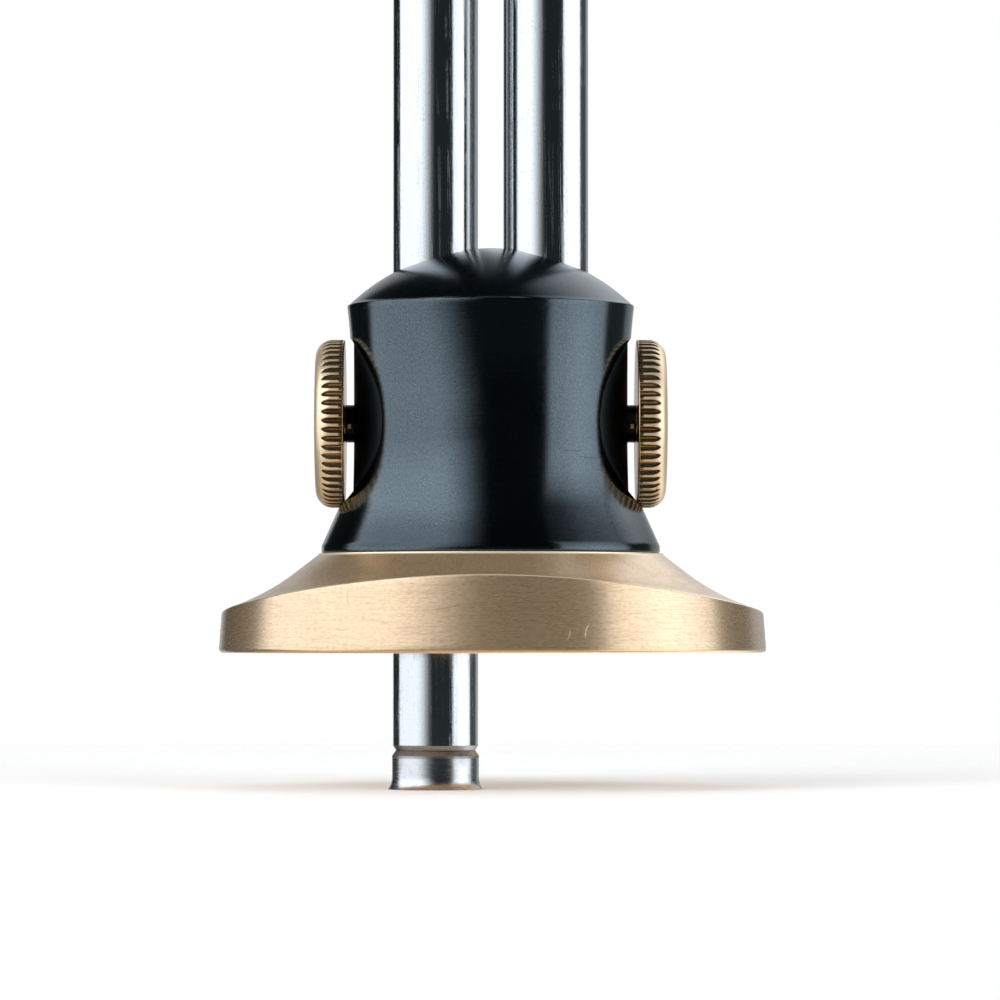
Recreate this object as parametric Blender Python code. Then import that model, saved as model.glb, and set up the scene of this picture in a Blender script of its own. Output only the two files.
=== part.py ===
"""Dual marking gauge: two wheel cutters on round rods, clamped in one head.

Metres, +Z up along the rods. The origin lies on the body's axis, in the plane
of the fence's working face. +X runs from the left thumbscrew to the right one,
and -Y is the front, where the fence's eccentric rim comes closest to the body.
"""

import math

import bpy
import bmesh

# Clearances
SEAT_GAP = 0.0003
RUNNING_CLEARANCE = 0.00005
OVERRUN = 0.002
WELD_DISTANCE = 0.0000001

# Rods
ROD_RADIUS = 0.00397
ROD_LENGTH = 0.2032
ROD_TOP_CHAMFER = 0.0006
ROD_FOOT_CHAMFER = 0.0005
ROD_FOOT_CHAMFER_SHARE = 0.6

# Cutter wheels, seen from the cutting edge upwards
WHEEL_HEIGHT = 0.0034
WHEEL_STEP = 0.00008
WHEEL_FLARE = 0.0004
WHEEL_BEVEL_HEIGHT = 0.0007
WHEEL_CHAMFER = 0.00045
WHEEL_CHAMFER_SHARE = 0.67
WHEEL_DISH_RADIUS = 0.0025
WHEEL_DISH_DEPTH = 0.0013
LEFT_CUT_DEPTH = 0.0127
PARKED_DEPTH = 0.0003

# Screws that hold the wheels on the rods
CUTTER_SCREW_RADIUS = 0.001
CUTTER_SCREW_LENGTH = 0.0075
CUTTER_SCREW_HEAD_RADIUS = 0.0019
CUTTER_SCREW_HEAD_HEIGHT = 0.0008
CUTTER_SCREW_SLOT_WIDTH = 0.0005
CUTTER_SCREW_SLOT_DEPTH = 0.0004
CUTTER_SCREW_CHAMFER = 0.0003

# Fence plate
FENCE_HEIGHT = 0.00925
FENCE_LEDGE = 0.00017
FENCE_CONE_WIDTH = 0.00227
FENCE_CONE_ANGLE = math.radians(37.6)
FENCE_COVE_RADIUS = 0.0206
FENCE_BRIM_ANGLE = math.radians(8.5)
RIM_RADIUS = 0.02585
RIM_DRAFT = 0.00025
RIM_EDGE_BREAK = 0.0004
RIM_FRONT_MARGIN = 0.00293
RIM_SIDE_SHIFT = 0.0002
WHEEL_POCKET_CLEARANCE = 0.00025
WHEEL_POCKET_WEB = 0.0009

# Screws that hold the fence to the body
FENCE_SCREW_RADIUS = 0.0015
FENCE_SCREW_LENGTH = 0.014
FENCE_SCREW_HEAD_RADIUS = 0.003
FENCE_SCREW_HEAD_RIM = 0.0003
FENCE_SCREW_CHAMFER = 0.0004
FENCE_SCREW_WEB = 0.0017
FENCE_SCREW_SOCKET_RADIUS = 0.00115
FENCE_SCREW_SOCKET_DEPTH = 0.0012
FENCE_SCREW_HOLE_SPARE = 0.0015

# Body, from its base upwards
BODY_LAND_HEIGHT = 0.0004
BODY_EDGE_BREAK = 0.00015
BODY_CONE_HEIGHT = 0.00344
BODY_FLARE_ANGLE = math.radians(24.2)
BODY_FLARE_RADIUS = 0.0154
BODY_WAIST_HEIGHT = 0.0039
BODY_SWELL_HEIGHT = 0.0087
BODY_SWELL_RADIUS = 0.075
BODY_SHOULDER_BREAK = 0.00018
BODY_DOME_RADIUS = 0.0191
CLAMP_WALL = 0.00361
CLAMP_RISE = 0.0017
SPOT_FACE_DEPTH = 0.00017
SPOT_FACE_MARGIN = 0.0002

# Thumbscrews, from the tip outwards
THREAD_RADIUS = 0.002
THREAD_TIP_CHAMFER = 0.0003
NECK_RELIEF_RADIUS = 0.0016
NECK_RELIEF_LENGTH = 0.00035
HEAD_STANDOFF = 0.00088
HEAD_RADIUS = 0.00785
HEAD_THICKNESS = 0.00284
HEAD_INNER_ROUND = 0.00028
HEAD_SHOULDER_RADIUS = 0.001
HEAD_CROWN_RADIUS = 0.06
KNURL_DEPTH = 0.00035
KNURL_LIP = 0.00018
KNURL_COUNT = 58

# Clamp pads
PAD_THICKNESS = 0.0009
PAD_CHAMFER = 0.0002

# Brake rings
RING_SECTION_RADIUS = 0.0004
RING_GROOVE_CLEARANCE = 0.0001
RING_DROP = 0.0027

# Facets
BODY_STEPS = 64
FENCE_STEPS = 80
CLAMP_BORE_STEPS = 40
ROD_STEPS = 32
WHEEL_STEPS = 32
SMALL_STEPS = 16
RING_STEPS = 32
RING_SECTION_STEPS = 8
SOCKET_SIDES = 6
ARC_STEPS = 5
SHORT_ARC_STEPS = 3
COLUMNS_JOINED = 4
SHARP_ANGLE = math.radians(30)

# Rods, wheels and their pockets decide how far apart the rods stand
BORE_RADIUS = ROD_RADIUS + RUNNING_CLEARANCE
WHEEL_RADIUS = ROD_RADIUS + WHEEL_STEP
WHEEL_EDGE_RADIUS = WHEEL_RADIUS + WHEEL_FLARE
POCKET_RADIUS = WHEEL_EDGE_RADIUS + WHEEL_POCKET_CLEARANCE
POCKET_DEPTH = PARKED_DEPTH + WHEEL_HEIGHT + SEAT_GAP
ROD_OFFSET = POCKET_RADIUS + WHEEL_POCKET_WEB / 2
ROD_REACH = ROD_OFFSET + ROD_RADIUS
FENCE_SCREW_OFFSET = POCKET_RADIUS + FENCE_SCREW_WEB + FENCE_SCREW_HEAD_RADIUS

# The walls round the rods decide the body's girth
SPOT_FACE_OFFSET = ROD_REACH + CLAMP_WALL
BODY_WAIST_RADIUS = SPOT_FACE_OFFSET + SPOT_FACE_DEPTH
BODY_FLARE_WIDTH = BODY_FLARE_RADIUS * (1 - math.cos(BODY_FLARE_ANGLE))
BODY_FLARE_HEIGHT = BODY_FLARE_RADIUS * math.sin(BODY_FLARE_ANGLE)
BODY_CONE_WIDTH = BODY_CONE_HEIGHT * math.tan(BODY_FLARE_ANGLE)
BODY_BASE_RADIUS = BODY_WAIST_RADIUS + BODY_FLARE_WIDTH + BODY_CONE_WIDTH
SWELL_ANGLE = math.asin(BODY_SWELL_HEIGHT / BODY_SWELL_RADIUS)
SHOULDER_RADIUS = BODY_WAIST_RADIUS + BODY_SWELL_RADIUS * (1 - math.cos(SWELL_ANGLE))
DOME_RIM_RADIUS = SHOULDER_RADIUS - BODY_SHOULDER_BREAK
DOME_RIM_ANGLE = math.acos(DOME_RIM_RADIUS / BODY_DOME_RADIUS)

# Heights in the whole gauge
BODY_BASE = FENCE_HEIGHT + SEAT_GAP
WAIST_FOOT = BODY_BASE + BODY_LAND_HEIGHT + BODY_CONE_HEIGHT + BODY_FLARE_HEIGHT
WAIST_TOP = WAIST_FOOT + BODY_WAIST_HEIGHT
SHOULDER_HEIGHT = WAIST_TOP + BODY_SWELL_HEIGHT
DOME_CENTRE = SHOULDER_HEIGHT + BODY_SHOULDER_BREAK - BODY_DOME_RADIUS * math.sin(DOME_RIM_ANGLE)
BODY_TOP = DOME_CENTRE + BODY_DOME_RADIUS
CLAMP_HEIGHT = WAIST_FOOT + CLAMP_RISE
RING_HEIGHT = SHOULDER_HEIGHT - RING_DROP

# The fence's cove is turned about the body's axis, its rim about one behind it
FENCE_TOP_RADIUS = BODY_BASE_RADIUS + FENCE_LEDGE
RIM_BACK_SHIFT = RIM_RADIUS - RIM_DRAFT - FENCE_TOP_RADIUS - RIM_FRONT_MARGIN
BRIM_REACH = RIM_RADIUS + RIM_BACK_SHIFT + RIM_SIDE_SHIFT + OVERRUN

# Places along a thumbscrew's axis, counted from the body's axis
PAD_FACE = ROD_REACH + SEAT_GAP
THREAD_TIP = PAD_FACE + PAD_THICKNESS + SEAT_GAP
THREAD_RUN_OUT = SPOT_FACE_OFFSET + HEAD_STANDOFF - NECK_RELIEF_LENGTH
HEAD_FACE = SPOT_FACE_OFFSET + HEAD_STANDOFF
HEAD_BACK = HEAD_FACE + HEAD_THICKNESS
KNURL_ROOT_RADIUS = HEAD_RADIUS - KNURL_DEPTH
SPOT_FACE_RADIUS = HEAD_RADIUS + SPOT_FACE_MARGIN

# Colour, roughness and metallic value of each finish
FINISHES = {
    "black_anodised": ((0.025, 0.03, 0.034, 1.0), 0.28, 1.0),
    "brushed_brass": ((0.78, 0.62, 0.38, 1.0), 0.32, 1.0),
    "turned_brass": ((0.83, 0.68, 0.42, 1.0), 0.22, 1.0),
    "polished_steel": ((0.74, 0.75, 0.76, 1.0), 0.12, 1.0),
    "hardened_steel": ((0.52, 0.52, 0.53, 1.0), 0.25, 1.0),
    "screw_steel": ((0.58, 0.58, 0.6, 1.0), 0.35, 1.0),
    "pad_nylon": ((0.82, 0.8, 0.74, 1.0), 0.5, 0.0),
    "ring_rubber": ((0.02, 0.02, 0.02, 1.0), 0.7, 0.0),
}


def clear_scene():
    """Remove every object that the scene holds."""
    for item in list(bpy.data.objects):
        bpy.data.objects.remove(item)


def finish(item, name):
    """Give an object a material of its own, in one of the named finishes."""
    color, roughness, metallic = FINISHES[name]
    material = bpy.data.materials.new(item.name)
    material.use_nodes = True
    shader = material.node_tree.nodes["Principled BSDF"]
    shader.inputs["Base Color"].default_value = color
    shader.inputs["Roughness"].default_value = roughness
    shader.inputs["Metallic"].default_value = metallic
    item.material_slots[0].link = "OBJECT"
    item.material_slots[0].material = material


def place(name, mesh, location=(0.0, 0.0, 0.0), rotation=(0.0, 0.0, 0.0)):
    """Put a mesh into the scene as a named object."""
    item = bpy.data.objects.new(name, mesh)
    item.location = location
    item.rotation_euler = rotation
    bpy.context.collection.objects.link(item)
    return item


def arc(centre, radius, start, end, steps):
    """Points of an arc in (radius, height), the first and the last included."""
    points = []
    for step in range(steps + 1):
        angle = start + (end - start) * step / steps
        points.append((centre[0] + radius * math.cos(angle), centre[1] + radius * math.sin(angle)))
    return points


def turned_bmesh(profile, steps, closed=False):
    """Turn a profile of (radius, height) points about Z into a closed body.

    An open profile starts and ends on the axis. A closed one goes round the
    section of a ring.
    """
    solid = bmesh.new()
    corners = [solid.verts.new((radius, 0.0, height)) for radius, height in profile]
    edges = [solid.edges.new(pair) for pair in zip(corners, corners[1:])]
    if closed:
        edges.append(solid.edges.new((corners[-1], corners[0])))
    bmesh.ops.spin(
        solid, geom=corners + edges, cent=(0.0, 0.0, 0.0), axis=(0.0, 0.0, 1.0),
        angle=math.tau, steps=steps, use_merge=True)
    bmesh.ops.remove_doubles(solid, verts=solid.verts, dist=WELD_DISTANCE)
    bmesh.ops.recalc_face_normals(solid, faces=solid.faces)
    return solid


def mesh_from(solid, name):
    """Turn a bmesh into a mesh with a material slot, smooth but for its sharp edges."""
    mesh = bpy.data.meshes.new(name)
    solid.to_mesh(mesh)
    solid.free()
    mesh.materials.append(None)
    mesh.shade_smooth()
    mesh.set_sharp_from_angle(angle=SHARP_ANGLE)
    return mesh


def turned(name, profile, steps, closed=False):
    """A turned body as a mesh."""
    return mesh_from(turned_bmesh(profile, steps, closed), name)


def drill(target, cutter, operation="DIFFERENCE"):
    """Cut an object with another one, which stays out of the model."""
    cutter.hide_render = True
    cutter.display_type = "WIRE"
    boolean = target.modifiers.new(cutter.name, "BOOLEAN")
    boolean.operation = operation
    boolean.solver = "EXACT"
    boolean.object = cutter


def sides():
    """The left and the right side, each with its sign along X."""
    return (("left", -1), ("right", 1))


def outwards(sign):
    """The rotation that lays a turned piece's Z axis along X, out of the body."""
    return (0.0, sign * math.pi / 2, 0.0)


def body_profile():
    """The bell: a land, a cone, a hollow flare, the waist, a slight swell and a dome."""
    base = BODY_BASE
    land = base + BODY_LAND_HEIGHT
    flare_centre = (BODY_WAIST_RADIUS + BODY_FLARE_RADIUS, WAIST_FOOT)
    swell_centre = (BODY_WAIST_RADIUS + BODY_SWELL_RADIUS, WAIST_TOP)
    outline = [
        (0.0, base),
        (BODY_BASE_RADIUS - BODY_EDGE_BREAK, base),
        (BODY_BASE_RADIUS, base + BODY_EDGE_BREAK),
        (BODY_BASE_RADIUS, land),
    ]
    outline += arc(flare_centre, BODY_FLARE_RADIUS, math.pi + BODY_FLARE_ANGLE, math.pi, ARC_STEPS)
    outline += arc(swell_centre, BODY_SWELL_RADIUS, math.pi, math.pi - SWELL_ANGLE, SHORT_ARC_STEPS)
    outline += arc((0.0, DOME_CENTRE), BODY_DOME_RADIUS, DOME_RIM_ANGLE, math.pi / 2, ARC_STEPS)
    return outline


def rod_bore_profile():
    """The bore for a rod through the body, with the groove for its brake ring."""
    groove = BORE_RADIUS + 2 * RING_SECTION_RADIUS + RING_GROOVE_CLEARANCE
    half_groove = RING_SECTION_RADIUS + RING_GROOVE_CLEARANCE
    return [
        (0.0, BODY_BASE - OVERRUN),
        (BORE_RADIUS, BODY_BASE - OVERRUN),
        (BORE_RADIUS, RING_HEIGHT - half_groove),
        (groove, RING_HEIGHT - half_groove),
        (groove, RING_HEIGHT + half_groove),
        (BORE_RADIUS, RING_HEIGHT + half_groove),
        (BORE_RADIUS, BODY_TOP + OVERRUN),
        (0.0, BODY_TOP + OVERRUN),
    ]


def clamp_bore_profile():
    """The hole for a thumbscrew and the spot face round its mouth, along the screw's axis."""
    hole = THREAD_RADIUS + RUNNING_CLEARANCE
    return [
        (0.0, ROD_OFFSET),
        (hole, ROD_OFFSET),
        (hole, SPOT_FACE_OFFSET),
        (SPOT_FACE_RADIUS, SPOT_FACE_OFFSET),
        (SPOT_FACE_RADIUS, BODY_BASE_RADIUS + OVERRUN),
        (0.0, BODY_BASE_RADIUS + OVERRUN),
    ]


def make_body():
    """The black head that carries the rods, the thumbscrews and the fence."""
    body = place("body", turned("body", body_profile(), BODY_STEPS))
    finish(body, "black_anodised")
    bore = turned("rod_bore_cutter", rod_bore_profile(), ROD_STEPS)
    clamp_bore = turned("clamp_bore_cutter", clamp_bore_profile(), CLAMP_BORE_STEPS)
    tapped_hole = turned("tapped_hole_cutter", tapped_hole_profile(), SMALL_STEPS)
    for side, sign in sides():
        drill(body, place(side + "_rod_bore_cutter", bore, (sign * ROD_OFFSET, 0.0, 0.0)))
        drill(body, place(side + "_clamp_bore_cutter", clamp_bore, (0.0, 0.0, CLAMP_HEIGHT), outwards(sign)))
    for end, sign in fence_screw_ends():
        drill(body, place(end + "_tapped_hole_cutter", tapped_hole, (0.0, sign * FENCE_SCREW_OFFSET, 0.0)))


def fence_screw_ends():
    """The front and the back fence screw, each with its sign along Y."""
    return (("front", -1), ("back", 1))


def tapped_hole_profile():
    """The blind hole in the body for a fence screw, with a drill point."""
    radius = FENCE_SCREW_RADIUS + RUNNING_CLEARANCE
    depth = PARKED_DEPTH + FENCE_SCREW_LENGTH + FENCE_SCREW_HOLE_SPARE
    return [
        (0.0, BODY_BASE - OVERRUN),
        (radius, BODY_BASE - OVERRUN),
        (radius, depth),
        (0.0, depth + radius / 2),
    ]


def cove_profile():
    """The fence's top, turned about the body's axis: a cone, a cove and a flat brim."""
    cove_start = (FENCE_TOP_RADIUS + FENCE_CONE_WIDTH,
                  FENCE_HEIGHT - FENCE_CONE_WIDTH * math.tan(FENCE_CONE_ANGLE))
    cove_centre = (cove_start[0] + FENCE_COVE_RADIUS * math.sin(FENCE_CONE_ANGLE),
                   cove_start[1] + FENCE_COVE_RADIUS * math.cos(FENCE_CONE_ANGLE))
    down = -math.pi / 2
    cove = arc(cove_centre, FENCE_COVE_RADIUS, down - FENCE_CONE_ANGLE, down - FENCE_BRIM_ANGLE, ARC_STEPS)
    brim = (BRIM_REACH, cove[-1][1] - (BRIM_REACH - cove[-1][0]) * math.tan(FENCE_BRIM_ANGLE))
    return [
        (0.0, -OVERRUN),
        (BRIM_REACH, -OVERRUN),
        brim,
        *reversed(cove),
        (FENCE_TOP_RADIUS, FENCE_HEIGHT),
        (0.0, FENCE_HEIGHT),
    ]


def rim_profile():
    """The fence's rim, turned about its own axis, with a broken lower edge and a slight draft."""
    return [
        (0.0, 0.0),
        (RIM_RADIUS - RIM_EDGE_BREAK, 0.0),
        (RIM_RADIUS, RIM_EDGE_BREAK),
        (RIM_RADIUS - RIM_DRAFT, FENCE_HEIGHT + OVERRUN),
        (0.0, FENCE_HEIGHT + OVERRUN),
    ]


def wheel_pocket_profile():
    """The hole for a rod through the fence, with the pocket that its wheel parks in."""
    return [
        (0.0, -OVERRUN),
        (POCKET_RADIUS, -OVERRUN),
        (POCKET_RADIUS, POCKET_DEPTH),
        (BORE_RADIUS, POCKET_DEPTH),
        (BORE_RADIUS, FENCE_HEIGHT + OVERRUN),
        (0.0, FENCE_HEIGHT + OVERRUN),
    ]


def countersink_profile():
    """The countersunk hole in the fence for a fence screw."""
    hole = FENCE_SCREW_RADIUS + RUNNING_CLEARANCE
    mouth = FENCE_SCREW_HEAD_RADIUS + SEAT_GAP
    rim = PARKED_DEPTH + FENCE_SCREW_HEAD_RIM
    return [
        (0.0, -OVERRUN),
        (mouth, -OVERRUN),
        (mouth, rim),
        (hole, rim + mouth - hole),
        (hole, FENCE_HEIGHT + OVERRUN),
        (0.0, FENCE_HEIGHT + OVERRUN),
    ]


def make_fence():
    """The brass fence: the coved blank where it meets the eccentric round of the rim."""
    fence = place("fence_plate", turned("fence_plate", cove_profile(), FENCE_STEPS))
    finish(fence, "brushed_brass")
    rim = turned("rim_cutter", rim_profile(), FENCE_STEPS)
    drill(fence, place("rim_cutter", rim, (RIM_SIDE_SHIFT, RIM_BACK_SHIFT, 0.0)), "INTERSECT")
    pocket = turned("wheel_pocket_cutter", wheel_pocket_profile(), ROD_STEPS)
    countersink = turned("countersink_cutter", countersink_profile(), SMALL_STEPS)
    for side, sign in sides():
        drill(fence, place(side + "_wheel_pocket_cutter", pocket, (sign * ROD_OFFSET, 0.0, 0.0)))
    for end, sign in fence_screw_ends():
        drill(fence, place(end + "_countersink_cutter", countersink, (0.0, sign * FENCE_SCREW_OFFSET, 0.0)))


def fence_screw_profile():
    """A countersunk screw, from its head's flat face up to its tip."""
    cone_top = FENCE_SCREW_HEAD_RIM + FENCE_SCREW_HEAD_RADIUS - FENCE_SCREW_RADIUS
    return [
        (0.0, 0.0),
        (FENCE_SCREW_HEAD_RADIUS, 0.0),
        (FENCE_SCREW_HEAD_RADIUS, FENCE_SCREW_HEAD_RIM),
        (FENCE_SCREW_RADIUS, cone_top),
        (FENCE_SCREW_RADIUS, FENCE_SCREW_LENGTH - FENCE_SCREW_CHAMFER),
        (FENCE_SCREW_RADIUS - FENCE_SCREW_CHAMFER, FENCE_SCREW_LENGTH),
        (0.0, FENCE_SCREW_LENGTH),
    ]


def socket_profile():
    """The space that a screw's hexagon socket takes out of its head."""
    return [
        (0.0, -OVERRUN),
        (FENCE_SCREW_SOCKET_RADIUS, -OVERRUN),
        (FENCE_SCREW_SOCKET_RADIUS, FENCE_SCREW_SOCKET_DEPTH),
        (0.0, FENCE_SCREW_SOCKET_DEPTH),
    ]


def make_fence_screws():
    """The two countersunk screws that hold the fence to the body."""
    mesh = turned("fence_screw", fence_screw_profile(), SMALL_STEPS)
    socket = turned("socket_cutter", socket_profile(), SOCKET_SIDES)
    for end, sign in fence_screw_ends():
        location = (0.0, sign * FENCE_SCREW_OFFSET, PARKED_DEPTH)
        screw = place("fence_screw_" + end, mesh, location)
        drill(screw, place(end + "_socket_cutter", socket, location))
        finish(screw, "screw_steel")


def rod_profile():
    """A rod from its foot up, with the hole for the cutter screw in its lower end."""
    hole = CUTTER_SCREW_RADIUS + RUNNING_CLEARANCE
    depth = CUTTER_SCREW_LENGTH - (WHEEL_HEIGHT - WHEEL_DISH_DEPTH)
    return [
        (0.0, depth + hole / 2),
        (hole, depth),
        (hole, 0.0),
        (ROD_RADIUS - ROD_FOOT_CHAMFER * ROD_FOOT_CHAMFER_SHARE, 0.0),
        (ROD_RADIUS, ROD_FOOT_CHAMFER),
        (ROD_RADIUS, ROD_LENGTH - ROD_TOP_CHAMFER),
        (ROD_RADIUS - ROD_TOP_CHAMFER, ROD_LENGTH),
        (0.0, ROD_LENGTH),
    ]


def wheel_profile():
    """The section of a cutter wheel: a hollow bevel to a sharp edge, and a dished underside."""
    hole = CUTTER_SCREW_RADIUS + RUNNING_CLEARANCE
    bevel = [
        (WHEEL_EDGE_RADIUS - WHEEL_FLARE * math.sin(turn * math.pi / 2 / SHORT_ARC_STEPS),
         WHEEL_BEVEL_HEIGHT * (1 - math.cos(turn * math.pi / 2 / SHORT_ARC_STEPS)))
        for turn in range(SHORT_ARC_STEPS + 1)
    ]
    return bevel + [
        (WHEEL_RADIUS, WHEEL_HEIGHT - WHEEL_CHAMFER),
        (WHEEL_RADIUS - WHEEL_CHAMFER * WHEEL_CHAMFER_SHARE, WHEEL_HEIGHT),
        (hole, WHEEL_HEIGHT),
        (hole, WHEEL_DISH_DEPTH),
        (WHEEL_DISH_RADIUS, WHEEL_DISH_DEPTH),
    ]


def cutter_screw_profile():
    """A cheese-head screw, from its head's face up to its tip."""
    return [
        (0.0, 0.0),
        (CUTTER_SCREW_HEAD_RADIUS, 0.0),
        (CUTTER_SCREW_HEAD_RADIUS, CUTTER_SCREW_HEAD_HEIGHT),
        (CUTTER_SCREW_RADIUS, CUTTER_SCREW_HEAD_HEIGHT),
        (CUTTER_SCREW_RADIUS, CUTTER_SCREW_LENGTH - CUTTER_SCREW_CHAMFER),
        (CUTTER_SCREW_RADIUS - CUTTER_SCREW_CHAMFER, CUTTER_SCREW_LENGTH),
        (0.0, CUTTER_SCREW_LENGTH),
    ]


def slot_mesh():
    """The bar that cuts a screwdriver slot across a cutter screw's head."""
    solid = bmesh.new()
    bmesh.ops.create_cube(solid, size=2.0)
    reach = (CUTTER_SCREW_HEAD_RADIUS + OVERRUN, CUTTER_SCREW_SLOT_WIDTH / 2, CUTTER_SCREW_SLOT_DEPTH)
    bmesh.ops.scale(solid, vec=reach, verts=solid.verts)
    return mesh_from(solid, "slot_cutter")


def make_rods():
    """Each side's rod, with its cutter wheel and the screw that holds the wheel on."""
    rod_mesh = turned("rod", rod_profile(), ROD_STEPS)
    wheel_mesh = turned("cutter_wheel", wheel_profile(), WHEEL_STEPS, closed=True)
    screw_mesh = turned("cutter_screw", cutter_screw_profile(), SMALL_STEPS)
    slot = slot_mesh()
    cutting_edges = {"left": -LEFT_CUT_DEPTH, "right": PARKED_DEPTH}
    for side, sign in sides():
        x = sign * ROD_OFFSET
        edge = cutting_edges[side]
        head = edge + WHEEL_DISH_DEPTH - SEAT_GAP - CUTTER_SCREW_HEAD_HEIGHT
        rod = place(side + "_rod", rod_mesh, (x, 0.0, edge + WHEEL_HEIGHT + SEAT_GAP))
        wheel = place(side + "_cutter_wheel", wheel_mesh, (x, 0.0, edge))
        screw = place(side + "_cutter_screw", screw_mesh, (x, 0.0, head))
        drill(screw, place(side + "_slot_cutter", slot, (x, 0.0, head)))
        finish(rod, "polished_steel")
        finish(wheel, "hardened_steel")
        finish(screw, "screw_steel")


def thumbscrew_profile():
    """A thumbscrew along its axis: thread, neck relief, and a head with a crowned back."""
    shoulder_height = HEAD_RADIUS - HEAD_SHOULDER_RADIUS
    crown_centre = HEAD_BACK - HEAD_CROWN_RADIUS
    crown_angle = math.acos(shoulder_height / HEAD_CROWN_RADIUS)
    crown_edge = crown_centre + HEAD_CROWN_RADIUS * math.sin(crown_angle)
    shoulder_centre = (shoulder_height, crown_edge - HEAD_SHOULDER_RADIUS)
    inner_centre = (HEAD_RADIUS - HEAD_INNER_ROUND, HEAD_FACE + HEAD_INNER_ROUND)
    outline = [
        (0.0, THREAD_TIP),
        (THREAD_RADIUS - THREAD_TIP_CHAMFER, THREAD_TIP),
        (THREAD_RADIUS, THREAD_TIP + THREAD_TIP_CHAMFER),
        (THREAD_RADIUS, THREAD_RUN_OUT),
        (NECK_RELIEF_RADIUS, THREAD_RUN_OUT),
        (NECK_RELIEF_RADIUS, HEAD_FACE),
    ]
    outline += arc(inner_centre, HEAD_INNER_ROUND, -math.pi / 2, 0.0, 1)
    outline += [(HEAD_RADIUS, HEAD_FACE + HEAD_INNER_ROUND + KNURL_LIP)]
    outline += arc(shoulder_centre, HEAD_SHOULDER_RADIUS, 0.0, math.pi / 2, SHORT_ARC_STEPS)
    outline += arc((0.0, crown_centre), HEAD_CROWN_RADIUS, crown_angle, math.pi / 2, SHORT_ARC_STEPS)[1:]
    return outline


def make_thumbscrews():
    """Each side's knurled thumbscrew and the pad that it presses on the rod."""
    mesh = knurled_screw_mesh()
    pad_mesh = turned("clamp_pad", pad_profile(), SMALL_STEPS)
    for side, sign in sides():
        location = (0.0, 0.0, CLAMP_HEIGHT)
        finish(place(side + "_thumbscrew", mesh, location, outwards(sign)), "turned_brass")
        finish(place(side + "_clamp_pad", pad_mesh, location, outwards(sign)), "pad_nylon")


def knurled_screw_mesh():
    """The thumbscrew turned in two columns for each groove, every second one cut to the root.

    The grooves keep one root radius, so they run out by themselves in points
    where the head's shoulder falls below it. The thread and the crown, inside
    the knurl, need fewer columns, so theirs are joined in small groups.
    """
    columns = 2 * KNURL_COUNT
    column_angle = math.tau / columns
    solid = turned_bmesh(thumbscrew_profile(), columns)
    groove_start = HEAD_FACE + HEAD_INNER_ROUND + KNURL_LIP / 2
    for vert in solid.verts:
        radius = math.hypot(vert.co.x, vert.co.y)
        column = round(math.atan2(vert.co.y, vert.co.x) / column_angle) % columns
        if radius < HEAD_RADIUS - HEAD_SHOULDER_RADIUS - WELD_DISTANCE:
            column -= column % COLUMNS_JOINED
        elif column % 2 and radius > KNURL_ROOT_RADIUS and vert.co.z > groove_start:
            radius = KNURL_ROOT_RADIUS
        vert.co.x = radius * math.cos(column * column_angle)
        vert.co.y = radius * math.sin(column * column_angle)
    bmesh.ops.remove_doubles(solid, verts=solid.verts, dist=WELD_DISTANCE)
    bmesh.ops.dissolve_degenerate(solid, edges=solid.edges, dist=WELD_DISTANCE)
    return mesh_from(solid, "thumbscrew")


def pad_profile():
    """The plug between a thumbscrew's tip and its rod."""
    end = PAD_FACE + PAD_THICKNESS
    return [
        (0.0, PAD_FACE),
        (THREAD_RADIUS - PAD_CHAMFER, PAD_FACE),
        (THREAD_RADIUS, PAD_FACE + PAD_CHAMFER),
        (THREAD_RADIUS, end - PAD_CHAMFER),
        (THREAD_RADIUS - PAD_CHAMFER, end),
        (0.0, end),
    ]


def make_brake_rings():
    """The rubber rings in the body's bores that keep a loosened rod from dropping."""
    centre = (BORE_RADIUS + RING_SECTION_RADIUS, 0.0)
    section = arc(centre, RING_SECTION_RADIUS, 0.0, math.tau, RING_SECTION_STEPS)[:-1]
    mesh = turned("brake_ring", section, RING_STEPS, closed=True)
    for side, sign in sides():
        ring = place(side + "_brake_ring", mesh, (sign * ROD_OFFSET, 0.0, RING_HEIGHT))
        finish(ring, "ring_rubber")


clear_scene()
make_body()
make_fence()
make_fence_screws()
make_rods()
make_thumbscrews()
make_brake_rings()
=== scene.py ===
"""Looks of the dual marking gauge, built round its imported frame.

Metres, +Z up along the rods, +X from the left thumbscrew to the right one,
-Y to the front, where the camera stands.
"""

import math

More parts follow.
